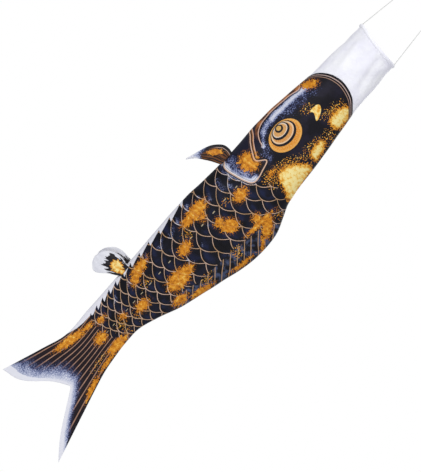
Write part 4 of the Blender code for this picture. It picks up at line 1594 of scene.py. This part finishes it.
def write_round_plan(mesh: bpy.types.Mesh, run: np.ndarray, share: np.ndarray) -> None:
    """Store length along and share round a swept piece, without a jump where the round closes.

    Args:
        mesh: the mesh.
        run: length along at each vertex.
        share: share round at each vertex.
    """
    layer = mesh.uv_layers.new(name="plan")
    for face in mesh.polygons:
        corners = [(loop, mesh.loops[loop].vertex_index) for loop in face.loop_indices]
        shares = [share[v] for _, v in corners]
        wraps = max(shares) - min(shares) > 0.5
        for loop, vert in corners:
            around = share[vert] + (1.0 if wraps and share[vert] < 0.5 else 0.0)
            layer.data[loop].uv = (run[vert], around)


# ---------------------------------------------------------------- materials of the whole part


@dataclass
class Wardrobe:
    """Every material, made once."""

    effects: Effects = field(default_factory=Effects)

    def __post_init__(self) -> None:
        """Make the materials."""
        self.print_face = PrintFinish(self.effects).make()
        inside = PrintFinish(self.effects, name="printed_nylon_reverse", reverse=True, roughness=0.6)
        self.print_back = inside.make()
        self.white = WhiteNylonFinish(self.effects).make()
        self.hem = WhiteNylonFinish(self.effects, name="white_nylon_hem", alpha=1.0).make()
        self.pectoral = FinFinish(self.effects, True, name="pectoral_fin_cloth").make()
        self.pelvic = FinFinish(self.effects, False, name="pelvic_fin_cloth").make()
        self.cord = CordFinish(self.effects).make()
        self.steel = HardFinish(self.effects, "nickel_steel", "C9CACD", "8E8C88", 1.0, 0.24, 0.3).make()
        self.hoop = HardFinish(self.effects, "hoop_plastic_moulded", "E4E5E7", "C9C8C2", 0.0, 0.38).make()


# ---------------------------------------------------------------- body


@dataclass(frozen=True)
class Panel:
    """One cut of a flank: what it stands for, where it starts and ends, and what it bends between."""

    name: str
    start: Callable[[np.ndarray], np.ndarray]
    end: Callable[[np.ndarray], np.ndarray]
    rows: int
    columns: int
    stands_for: tuple[str, ...]
    bodies: tuple[str, str]
    bend: float


@dataclass
class BodyCloth:
    """The printed flanks: three cuts a side, joined edge to edge."""

    wardrobe: Wardrobe
    cloth: float = 0.0004
    bend_reach: float = 0.042
    lip_guess: float = 0.11
    lip_rounds: int = 6
    first_cut: float = 0.483
    second_cut: float = 0.648

    def lip(self, angle: np.ndarray) -> np.ndarray:
        """The printed cloth's front edge, a forward bulge over the sleeve.

        Args:
            angle: angle round the girth, from belly to back.

        Returns:
            One value a point.
        """
        along = np.full(len(angle), self.lip_guess)
        for _ in range(self.lip_rounds):
            middle, height, _ = FISH.section(along)
            across = (middle + height * np.sin(angle)) * PER_METRE
            along = PLAN.lip_along(across) * MM
        return along

    def trailing(self, angle: np.ndarray) -> np.ndarray:
        """The tail's own edge."""
        return smooth_value(FISH.trailing, np.sin(angle), 1) * FISH.length

    def sag(self, along: np.ndarray, angle: np.ndarray, flank: Flank) -> tuple[np.ndarray, np.ndarray]:
        """How far the cloth stands proud of the plain form, and how far the tail waves sideways.

        The waves' heights and lengths are in millimetres.

        Args:
            along: distance from the mouth towards the tail.
            angle: angle round the girth, from belly to back.
            flank: the flank.

        Returns:
            Both distances, in metres.
        """
        s = along * PER_METRE
        calm = np.clip((s - 130) / 60, 0, 1) * np.clip((900 - s) / 150, 0, 1)
        broad = 0.9 * np.sin(s / 41 + 1.7 * angle + 1.1 * np.sin(s / 77))
        small = 0.35 * np.sin(s / 13 - 2.6 * angle + 1.6 * np.sin(s / 31 + angle))
        own = 0.5 * np.sin(s / 27 + flank.value * 1.3 + 3.1 * angle) * np.cos(angle) ** 2
        proud = (broad + small + own) * calm * MM * 0.8
        loose = np.clip((s - 740) / 180, 0, 1)
        across = np.sin(angle)
        wave = loose * (3.4 * np.sin(s / 33 + 1.9 * across) + 1.3 * np.sin(s / 14 - 3.2 * across)) * MM
        return proud, wave

    def points(self, along: np.ndarray, angle: np.ndarray, flank: Flank) -> np.ndarray:
        """Where the cloth lies.

        Args:
            along: distance from the mouth towards the tail.
            angle: angle round the girth, from belly to back.
            flank: the flank.

        Returns:
            One point a row.
        """
        middle, height, depth = FISH.section(along)
        proud, wave = self.sag(along, angle, flank)
        across = middle + (height + proud) * np.sin(angle)
        out = flank.value * (depth + proud) * np.maximum(np.cos(angle), 0.0) + wave
        return FISH.places(along, across, out)

    def panels(self) -> tuple[Panel, ...]:
        """The three cuts of a flank.

        Returns:
            The cuts from mouth to tail.
        """

        def at(place: float) -> Callable[[np.ndarray], np.ndarray]:
            """A straight cut across the fish."""
            return lambda angle: np.full(len(angle), place)

        first, second = at(self.first_cut), at(self.second_cut)
        return (
            Panel(
                name="front_skin",
                start=self.lip,
                end=first,
                rows=190,
                columns=110,
                stands_for=("head_panel",),
                bodies=("head", "flank"),
                bend=FISH.head_bend,
            ),
            Panel(
                name="middle_skin",
                start=first,
                end=second,
                rows=84,
                columns=104,
                stands_for=("flank_panel", "rear_panel"),
                bodies=("flank", "rear"),
                bend=FISH.rear_bend,
            ),
            Panel(
                name="tail_skin",
                start=second,
                end=self.trailing,
                rows=160,
                columns=104,
                stands_for=("tail_panel",),
                bodies=("rear", "tail"),
                bend=FISH.tail_bend,
            ),
        )

    def build(self) -> None:
        """Make every skin on both flanks."""
        for flank in Flank:
            for panel in self.panels():
                self.build_panel(panel, flank)

    def build_panel(self, panel: Panel, flank: Flank) -> None:
        """Make one skin and dress it.

        Args:
            panel: the cut.
            flank: the flank.
        """
        shape, down, girth = cloth_grid(panel.rows, panel.columns)
        angle = (girth - 0.5) * math.pi
        start, end = panel.start(angle), panel.end(angle)
        along = start + (end - start) * down
        lay_points(shape, self.points(along, angle, flank))
        face_outwards(shape, Vector((0, flank.value, 0)))
        area = sheet_area(shape)
        faces = [self.wardrobe.print_face, self.wardrobe.print_back]
        piece = finished(f"{panel.name}_{flank.word}", shape, faces)
        middle, height, _ = FISH.section(along)
        across = middle + height * np.sin(angle)
        write_plan(piece.data, along, across)
        write_fields(piece.data, print_fields(along * PER_METRE, across * PER_METRE))
        thicken(piece, self.cloth, 1)
        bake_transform(piece)
        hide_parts(*(f"{node}_{flank.word}" for node in panel.stands_for))


# ---------------------------------------------------------------- mouth


@dataclass
class Mouth:
    """The hem that folds over the hoop, and the white sleeve behind it."""

    wardrobe: Wardrobe
    body: BodyCloth
    hem_radius: float = 0.0033
    under_lap: float = 0.004
    tuck_start: float = 0.006
    tuck_run: float = 0.005
    tuck_depth: float = 0.0009
    cloth: float = 0.0004
    end_room: float = 0.00513

    def build(self) -> None:
        """Make the sleeve and the hem on both flanks."""
        for flank in Flank:
            self.build_sleeve(flank)
            self.build_hem(flank)

    def front(self, angle: np.ndarray) -> np.ndarray:
        """Where the sleeve leaves the hem."""
        edge = FISH.hoop_lean * np.sin(angle) + FISH.hoop_sag * np.cos(angle) ** 2
        return edge + self.hem_radius * 0.3

    def build_sleeve(self, flank: Flank) -> None:
        """The thin white tube between hem and print, with long soft folds in millimetres.

        Args:
            flank: the flank.
        """
        shape, down, girth = cloth_grid(56, 96)
        angle = (girth - 0.5) * math.pi
        start, end = self.front(angle), self.body.lip(angle) + self.under_lap
        along = start + (end - start) * down
        middle, height, depth = FISH.section(along)
        s = along * PER_METRE
        lip = self.body.lip(angle)
        full = np.clip((s - 6) / 22, 0, 1) * np.clip((lip * PER_METRE - s) / 26, 0, 1)
        folds = 1.5 * np.sin(8.5 * angle + 1.2 * np.sin(s / 26) + flank.value) * np.cos(angle) ** 2
        folds += 0.8 * np.sin(s / 10.5 + 4.3 * angle + 2 * np.sin(s / 33))
        folds += 0.5 * np.sin(15 * angle - s / 19) * np.cos(angle)
        tuck = np.clip((along - lip + self.tuck_start) / self.tuck_run, 0, 1)
        proud = folds * full * MM - tuck * self.tuck_depth
        across = middle + (height + proud) * np.sin(angle)
        out = flank.value * (depth + proud) * np.maximum(np.cos(angle), 0)
        lay_points(shape, FISH.places(along, across, out))
        face_outwards(shape, Vector((0, flank.value, 0)))
        area = sheet_area(shape)
        piece = finished(f"white_sleeve_{flank.word}", shape, [self.wardrobe.white])
        write_plan(piece.data, along, angle * 0.05)
        thicken(piece, self.cloth)
        stand_in(piece, "head", f"mouth_sleeve_{flank.word}")

    def build_hem(self, flank: Flank) -> None:
        """The tunnel that the hoop runs in, gathered a little along its length.

        Args:
            flank: the flank.
        """
        room = self.end_room / FISH.hoop_half_width
        count = 220
        turns = [flank.value * (room + (math.pi - 2 * room) * i / count) for i in range(count + 1)]
        path = [FISH.hoop_point(turn) for turn in turns]
        shape, run, share = swept(path, self.hem_radius, 16)
        centre = np.array([path[round(r / run.max() * count)] for r in run])
        for vert, middle, r, around in zip(shape.verts, centre, run, share):
            offset = vert.co - Vector(middle)
            outer = 0.5 + 0.5 * math.cos(2 * math.pi * around)
            pucker = 0.055 * math.sin(r * 620 + 2.1 * math.sin(r * 97)) * outer
            pucker += 0.03 * math.sin(r * 1490 + 9 * around)
            vert.co = Vector(middle) + offset * (1 + pucker)
        piece = finished(f"mouth_hem_cloth_{flank.word}", shape, [self.wardrobe.hem])
        write_round_plan(piece.data, run, share * 0.02)
        stand_in(piece, "head", f"mouth_hem_{flank.word}")


# ---------------------------------------------------------------- fins


@dataclass(frozen=True)
class FinCut:
    """A fin's cut in millimetres, its seat on the flank and its print."""

    name: str
    front_edge: Table
    rear_edge: Table
    along: float
    angle: float
    gold: tuple[Patch, ...]
    sewn_to: str
    camber: float = 0.002
    splay: float = 0.0
    stagger: float = 0.0


PECTORAL = FinCut(
    name="pectoral_fin",
    front_edge=(
        (0, -15), (10, -17), (22, -15), (33, -6), (41, 5), (47, 20), (52, 36), (55.5, 47), (57, 52.4),
    ),
    rear_edge=((0, 15), (10, 19.5), (20, 24), (32, 31), (42, 37), (50, 45), (54.5, 50), (57, 53.6)),
    along=0.352,
    angle=math.radians(-72),
    gold=patches((358, -96, 15, 5.5, -44)),
    sewn_to="front_skin",
    splay=0.02,
)
PELVIC = FinCut(
    name="pelvic_fin",
    front_edge=((0, -12), (14, -14), (28, -15.5), (40, -13.5), (48.5, -9), (55.5, -2), (60, 5), (62.5, 15)),
    rear_edge=(
        (0, 13), (10, 18.5), (22, 25), (34, 34), (42, 38.5), (48, 38.5), (54, 34), (59.5, 27), (62.5, 17),
    ),
    along=0.641,
    angle=math.radians(-66),
    gold=patches((645, -91, 11, 13), (646, -77, 5, 6)),
    sewn_to="middle_skin",
    stagger=0.010,
)


@dataclass
class Fins:
    """The four sewn fins."""

    wardrobe: Wardrobe
    cloth: float = 0.0005
    skin_gap: float = 0.00015
    seat_gap: float = 0.00075
    root_half: float = 0.01
    near_step: float = 0.002
    turn_step: float = 0.02
    pelvic_print: tuple[Spot, ...] = (
        (629, -60), (629, -84), (630, -100), (635, -114), (646, -118), (657, -111), (665, -98),
        (662, -84), (656, -60),
    )

    def skin_point(self, along: float, angle: float, side: int) -> Vector:
        """A point on the plain form.

        Args:
            along: distance from the mouth towards the tail.
            angle: angle round the girth.
            side: -1 on the left and 1 on the right.

        Returns:
            The point.
        """
        middle, height, depth = (float(v[0]) for v in FISH.section(np.array([along])))
        across = middle + height * math.sin(angle)
        return FISH.place(along, across, side * (self.skin_gap + depth * max(math.cos(angle), 0.0)))

    def frame(self, cut: FinCut, side: int) -> tuple[Vector, Vector, Vector]:
        """Root, root direction and reach of a fin, as the frame's own fin nodes have them.

        Args:
            cut: the fin's cut.
            side: -1 on the left and 1 on the right.

        Returns:
            Root, root direction and reach.
        """
        along = cut.along - (cut.stagger if side > 0 else 0.0)
        root = self.skin_point(along, cut.angle, side)

        def over(place: float, turn: float) -> Vector:
            """The run between two points that lie evenly about the root."""
            ahead = self.skin_point(along + place, cut.angle + turn, side)
            return ahead - self.skin_point(along - place, cut.angle - turn, side)

        run = over(self.root_half, 0.0).normalized()
        outward = over(0.0, self.turn_step).cross(over(self.near_step, 0.0)).normalized()
        outward = -outward if outward.y * side < 0 else outward
        reach = -FISH.backward + Vector((0, side * cut.splay, 0))
        reach = (reach - run * reach.dot(run)).normalized()
        return root + outward * self.seat_gap, run, reach

    def build(self) -> None:
        """Make both pairs."""
        for flank in Flank:
            self.build_fin(PECTORAL, flank, self.wardrobe.pectoral)
            self.build_fin(PELVIC, flank, self.wardrobe.pelvic)

    def build_fin(self, cut: FinCut, flank: Flank, finish: Material) -> None:
        """One fin: a cambered sheet of cloth.

        Args:
            cut: the fin's cut.
            flank: the flank.
            finish: its material.
        """
        shape, reach, side = cloth_grid(52, 34)
        long = cut.front_edge[-1][0]
        out = reach * long
        left, right = smooth_value(cut.front_edge, out, 1), smooth_value(cut.rear_edge, out, 1)
        width = left + (right - left) * side
        root, run, towards = self.frame(cut, flank.value)
        normal = run.cross(towards).normalized()
        normal = -normal if normal.y * flank.value < 0 else normal
        lift = cut.camber * np.sin(np.pi * side) * np.sin(np.pi * np.clip(reach, 0, 1) * 0.9)
        lift += 0.0005 * np.sin(side * 21 + reach * 4) * np.clip(reach * 3, 0, 1)
        spots = np.array(root) + np.outer(width * MM, run) + np.outer(out * MM, towards)
        lay_points(shape, spots + np.outer(lift, normal))
        face_outwards(shape, normal)
        area = sheet_area(shape)
        piece = finished(f"{cut.name}_cloth_{flank.word}", shape, [finish])
        home, home_run, home_reach = self.frame(cut, -1)
        flat = np.array(home - FISH.middle) + np.outer(width * MM, home_run) + np.outer(out * MM, home_reach)
        seen = flat @ np.array([FISH.tailward, FISH.backward]).T * PER_METRE
        write_plan(piece.data, width * MM, out * MM)
        far = flank is Flank.RIGHT
        hidden_gold = 6.0 if cut.stagger and far else 0.0
        hidden_print = 9 * np.clip((out - 12) / 20, 0, 1) if far else 0.0
        rear_glow = np.clip((side - 0.7) / 0.3, 0, 1) * np.clip((out - 22) / 16, 0, 1)
        edge = [(across, along) for along, across in cut.front_edge]
        fields = {
            "gold": patch_field(seen, cut.gold) - hidden_gold,
            "front": line_distance(np.column_stack([width, out]), edge, False),
            "tip": long - out,
            "ray": side,
            "reach": reach,
            "print": region_depth(seen, self.pelvic_print) - hidden_print,
            "glow": np.clip(1 - ((long - out) - 4) / 15 + 0.5 * rear_glow, 0, 1),
        }
        write_fields(piece.data, fields)
        thicken(piece, self.cloth, offset=0.0)
        body = cut.name.removesuffix("_fin")
        stand_in(piece, f"{body}_{flank.word}", f"{cut.name}_{flank.word}")


# ---------------------------------------------------------------- bridle


class LegEnd(Enum):
    """The two legs of the bridle: side of the spreader, and turn round the hoop."""

    CHIN = (-1, math.pi)
    NAPE = (1, 0.0)

    @property
    def word(self) -> str:
        """The leg's name as the frame's nodes spell it."""
        return self.name.lower()


@dataclass
class Bridle:
    """Hitches, cords, knots and hoop loops of the two legs."""

    wardrobe: Wardrobe
    diameter: float = 0.0015
    bar_z: float = -0.07615
    hitch_at: float = 0.027
    hitch_radius: float = 0.003
    wire: float = 0.0012
    run: float = 0.0003
    knot: float = 0.0018
    seam_gap: float = 0.0003
    hitch_wraps: float = 2.5
    hitch_pitch: float = 0.00145
    loop_spread: float = 0.0008
    knot_lobe: float = 0.00037
    knot_rise: float = 0.00062
    loop_squeeze: float = 0.94
    knot_squeeze: float = 0.86

    def build(self) -> None:
        """Make both legs."""
        for end in LegEnd:
            self.build_leg(end)

    def build_leg(self, end: LegEnd) -> None:
        """One leg from the spreader's bar to the hoop.

        Args:
            end: which leg.
        """
        sign, turn = end.value
        top = Vector((sign * self.hitch_at, 0, self.bar_z))
        seat = FISH.hoop_point(turn)
        down = (seat - top).normalized()
        loop_radius = self.wire + self.run + self.diameter / 2
        knot_middle = seat - down * (loop_radius + self.diameter / 2 + self.seam_gap + self.knot)
        start = top + down * (self.hitch_radius + self.seam_gap)
        finish = knot_middle - down * (self.knot + self.seam_gap)
        hitch = self.build_hitch(end, top, loop_radius)
        loop = self.build_loop(end, seat, loop_radius)
        knot = self.build_knot(end, knot_middle, down)
        self.build_cord(end, start, finish)

    def dress(self, name: str, made: Sweep, body: str, node: str) -> Piece:
        """Finish one cord piece.

        Args:
            name: its name.
            made: the swept shape.
            body: the body that it rides.
            node: the CAD node that it stands for.

        Returns:
            The piece.
        """
        shape, run, share = made
        piece = finished(name, shape, [self.wardrobe.cord])
        write_round_plan(piece.data, run, share)
        stand_in(piece, body, node)
        return piece

    def build_cord(self, end: LegEnd, start: Vector, finish: Vector) -> None:
        """The taut leg itself, three strands laid together.

        Args:
            end: which leg.
            start: the cord's upper end.
            finish: the cord's lower end.
        """
        count = 300
        path = [start.lerp(finish, i / count) for i in range(count + 1)]
        made = swept(path, self.diameter / 2, 12, strands=3)
        piece = self.dress(f"bridle_leg_{end.word}", made, "bridle", f"bridle_cord_{end.word}")

    def build_hitch(self, end: LegEnd, top: Vector, radius: float) -> Piece:
        """Turns of cord round the spreader's bar.

        Args:
            end: which leg.
            top: the hitch's middle.
            radius: radius of the turns.

        Returns:
            The piece.
        """
        count = 96
        path = []
        for i in range(count + 1):
            angle = 2 * math.pi * self.hitch_wraps * i / count
            x = self.hitch_pitch * self.hitch_wraps * (i / count - 0.5)
            path.append(top + Vector((x, radius * math.sin(angle), -radius * math.cos(angle))))
        made = swept(path, self.diameter / 2, 10, strands=3)
        return self.dress(f"hitch_turns_{end.word}", made, "bridle", f"hitch_{end.word}")

    def build_loop(self, end: LegEnd, seat: Vector, radius: float) -> Piece:
        """A doubled loop round the hoop's wire.

        Args:
            end: which leg.
            seat: the point on the hoop's wire.
            radius: radius of the turns.

        Returns:
            The piece.
        """
        count = 120
        path = []
        for i in range(count):
            angle = 4 * math.pi * i / count
            aside = self.loop_spread * math.sin(angle / 2)
            path.append(seat + Vector((radius * math.sin(angle), aside, radius * math.cos(angle))))
        made = swept(path, self.diameter / 2 * self.loop_squeeze, 10, closed=True, strands=3)
        return self.dress(f"hoop_tie_{end.word}", made, "head", f"hoop_loop_{end.word}")

    def build_knot(self, end: LegEnd, middle: Vector, down: Vector) -> Piece:
        """A small overhand knot.

        Args:
            end: which leg.
            middle: the knot's middle.
            down: direction of the leg.

        Returns:
            The piece.
        """
        count = 120
        lay = down.to_track_quat("Z", "Y").to_matrix()
        path = []
        for i in range(count):
            t = 2 * math.pi * i / count
            x = (math.sin(t) + 2 * math.sin(2 * t)) * self.knot_lobe
            y = (math.cos(t) - 2 * math.cos(2 * t)) * self.knot_lobe
            z = -math.sin(3 * t) * self.knot_rise
            path.append(middle + lay @ Vector((x, z, y)))
        made = swept(path, self.diameter / 2 * self.knot_squeeze, 10, closed=True, strands=3)
        return self.dress(f"overhand_knot_{end.word}", made, "bridle", f"knot_{end.word}")


# ---------------------------------------------------------------- carried-over hard parts


@dataclass
class HardParts:
    """Steel fittings and the hoop, whose shapes the frame already has."""

    wardrobe: Wardrobe
    steel: tuple[str, ...] = ("snap_hook", "gate", "gate_pin", "gate_spring", "swivel_eye", "bridle_spreader")
    plastic: tuple[str, ...] = ("mouth_hoop", "hoop_joiner")

    def dress(self, nodes: dict[str, Piece]) -> None:
        """Give each carried-over node its finish.

        Args:
            nodes: the frame's objects by name.
        """
        for names, finish in ((self.steel, self.wardrobe.steel), (self.plastic, self.wardrobe.hoop)):
            for name in names:
                for slot in nodes[name].material_slots:
                    slot.link = "OBJECT"
                    slot.material = finish
                LOG.info("dressed %s with %s", name, finish.name)


# ---------------------------------------------------------------- studio


@dataclass
class Studio:
    """Camera, lights and a pale floor well below the hanging fish."""

    aim: Vector = field(default_factory=lambda: FISH.place(0.483, 0.0038))
    distance: float = 5.0
    frame_height: float = 0.9025
    roll_along: float = -0.665
    roll_across: float = 0.747
    floor_drop: float = 1.76
    floor_radius: float = 1.7
    sensor: float = 36.0

    def build(self) -> None:
        """Set everything up."""
        self.build_camera()
        self.build_world()
        self.build_lamps()
        self.build_floor()

    def build_camera(self) -> None:
        """A long lens square to the left flank, rolled so that the mouth is up and to the right."""
        lens = bpy.data.cameras.new("camera")
        lens.sensor_width = self.sensor
        lens.lens = self.sensor * self.distance / self.frame_height
        lens.clip_end = 60.0
        camera = bpy.data.objects.new("camera", lens)
        right = (self.roll_along * FISH.tailward + self.roll_across * FISH.backward).normalized()
        back = Vector((0, -1, 0))
        up = back.cross(right).normalized()
        turned = Matrix((right, up, back)).transposed().to_4x4()
        camera.matrix_world = Matrix.Translation(self.aim + back * self.distance) @ turned
        bpy.context.scene.collection.objects.link(camera)
        bpy.context.scene.camera = camera

    def build_world(self) -> None:
        """White surroundings that light the cloth less than they show."""
        world = bpy.data.worlds.new("studio")
        bpy.context.scene.world = world
        world.use_nodes = True
        s = NodeSheet(world.node_tree)
        plain = world.node_tree.nodes["Background"]
        plain.inputs["Color"].default_value = (0.93, 0.95, 1.0, 1.0)
        plain.inputs["Strength"].default_value = 0.42
        white = s.add("ShaderNodeBackground")
        white.inputs["Color"].default_value = (1.0, 1.0, 1.0, 1.0)
        white.inputs["Strength"].default_value = 1.0
        rays = s.add("ShaderNodeLightPath")
        blend = s.add("ShaderNodeMixShader")
        s.feed(blend.inputs[0], rays.outputs["Is Camera Ray"])
        s.feed(blend.inputs[1], plain.outputs[0])
        s.feed(blend.inputs[2], white.outputs[0])
        s.feed(world.node_tree.nodes["World Output"].inputs["Surface"], blend.outputs[0])
        bpy.context.scene.view_settings.view_transform = "Standard"

    def build_lamps(self) -> None:
        """Large soft lamps."""
        middle = FISH.place(0.45, 0)
        for name, offset, size, power in (
            ("key", Vector((-1.3, -2.4, 1.1)), 1.6, 36.0),
            ("fill", Vector((1.9, -2.0, -0.3)), 2.0, 15.0),
            ("rim", Vector((0.4, 2.6, 1.0)), 1.6, 22.0),
            ("top", Vector((0.2, -0.4, 2.3)), 1.6, 13.0),
        ):
            lamp = bpy.data.lights.new(name, "AREA")
            lamp.energy = power
            lamp.size = size
            stand = bpy.data.objects.new(name, lamp)
            stand.location = middle + offset
            stand.rotation_euler = (-offset).to_track_quat("-Z", "Y").to_euler()
            bpy.context.scene.collection.objects.link(stand)

    def build_floor(self) -> None:
        """A round pale floor."""
        shape = bmesh.new()
        bmesh.ops.create_circle(shape, cap_ends=True, radius=self.floor_radius, segments=96)
        bmesh.ops.translate(shape, verts=shape.verts, vec=(0, 0, -self.floor_drop))
        made, s, shader = new_material("pale_floor")
        where = s.add("ShaderNodeTexCoord").outputs["Object"]
        s.feed(shader.inputs["Base Color"], s.mix(s.noise(where, 3.0, 2.0), paint("E9EAEC"), paint("F1F1F2")))
        shader.inputs["Roughness"].default_value = 0.8
        floor = finished("floor", shape, [made])


def main() -> None:
    """Build and dress every piece in order."""
    logging.basicConfig(level=logging.INFO, format="%(message)s")
    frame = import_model()
    Studio().build()
    wardrobe = Wardrobe()
    Bridle(wardrobe).build()
    body = BodyCloth(wardrobe)
    body.build()
    Mouth(wardrobe, body).build()
    Fins(wardrobe).build()
    HardParts(wardrobe).dress(frame["nodes"])


if __name__ == "__main__":
    main()
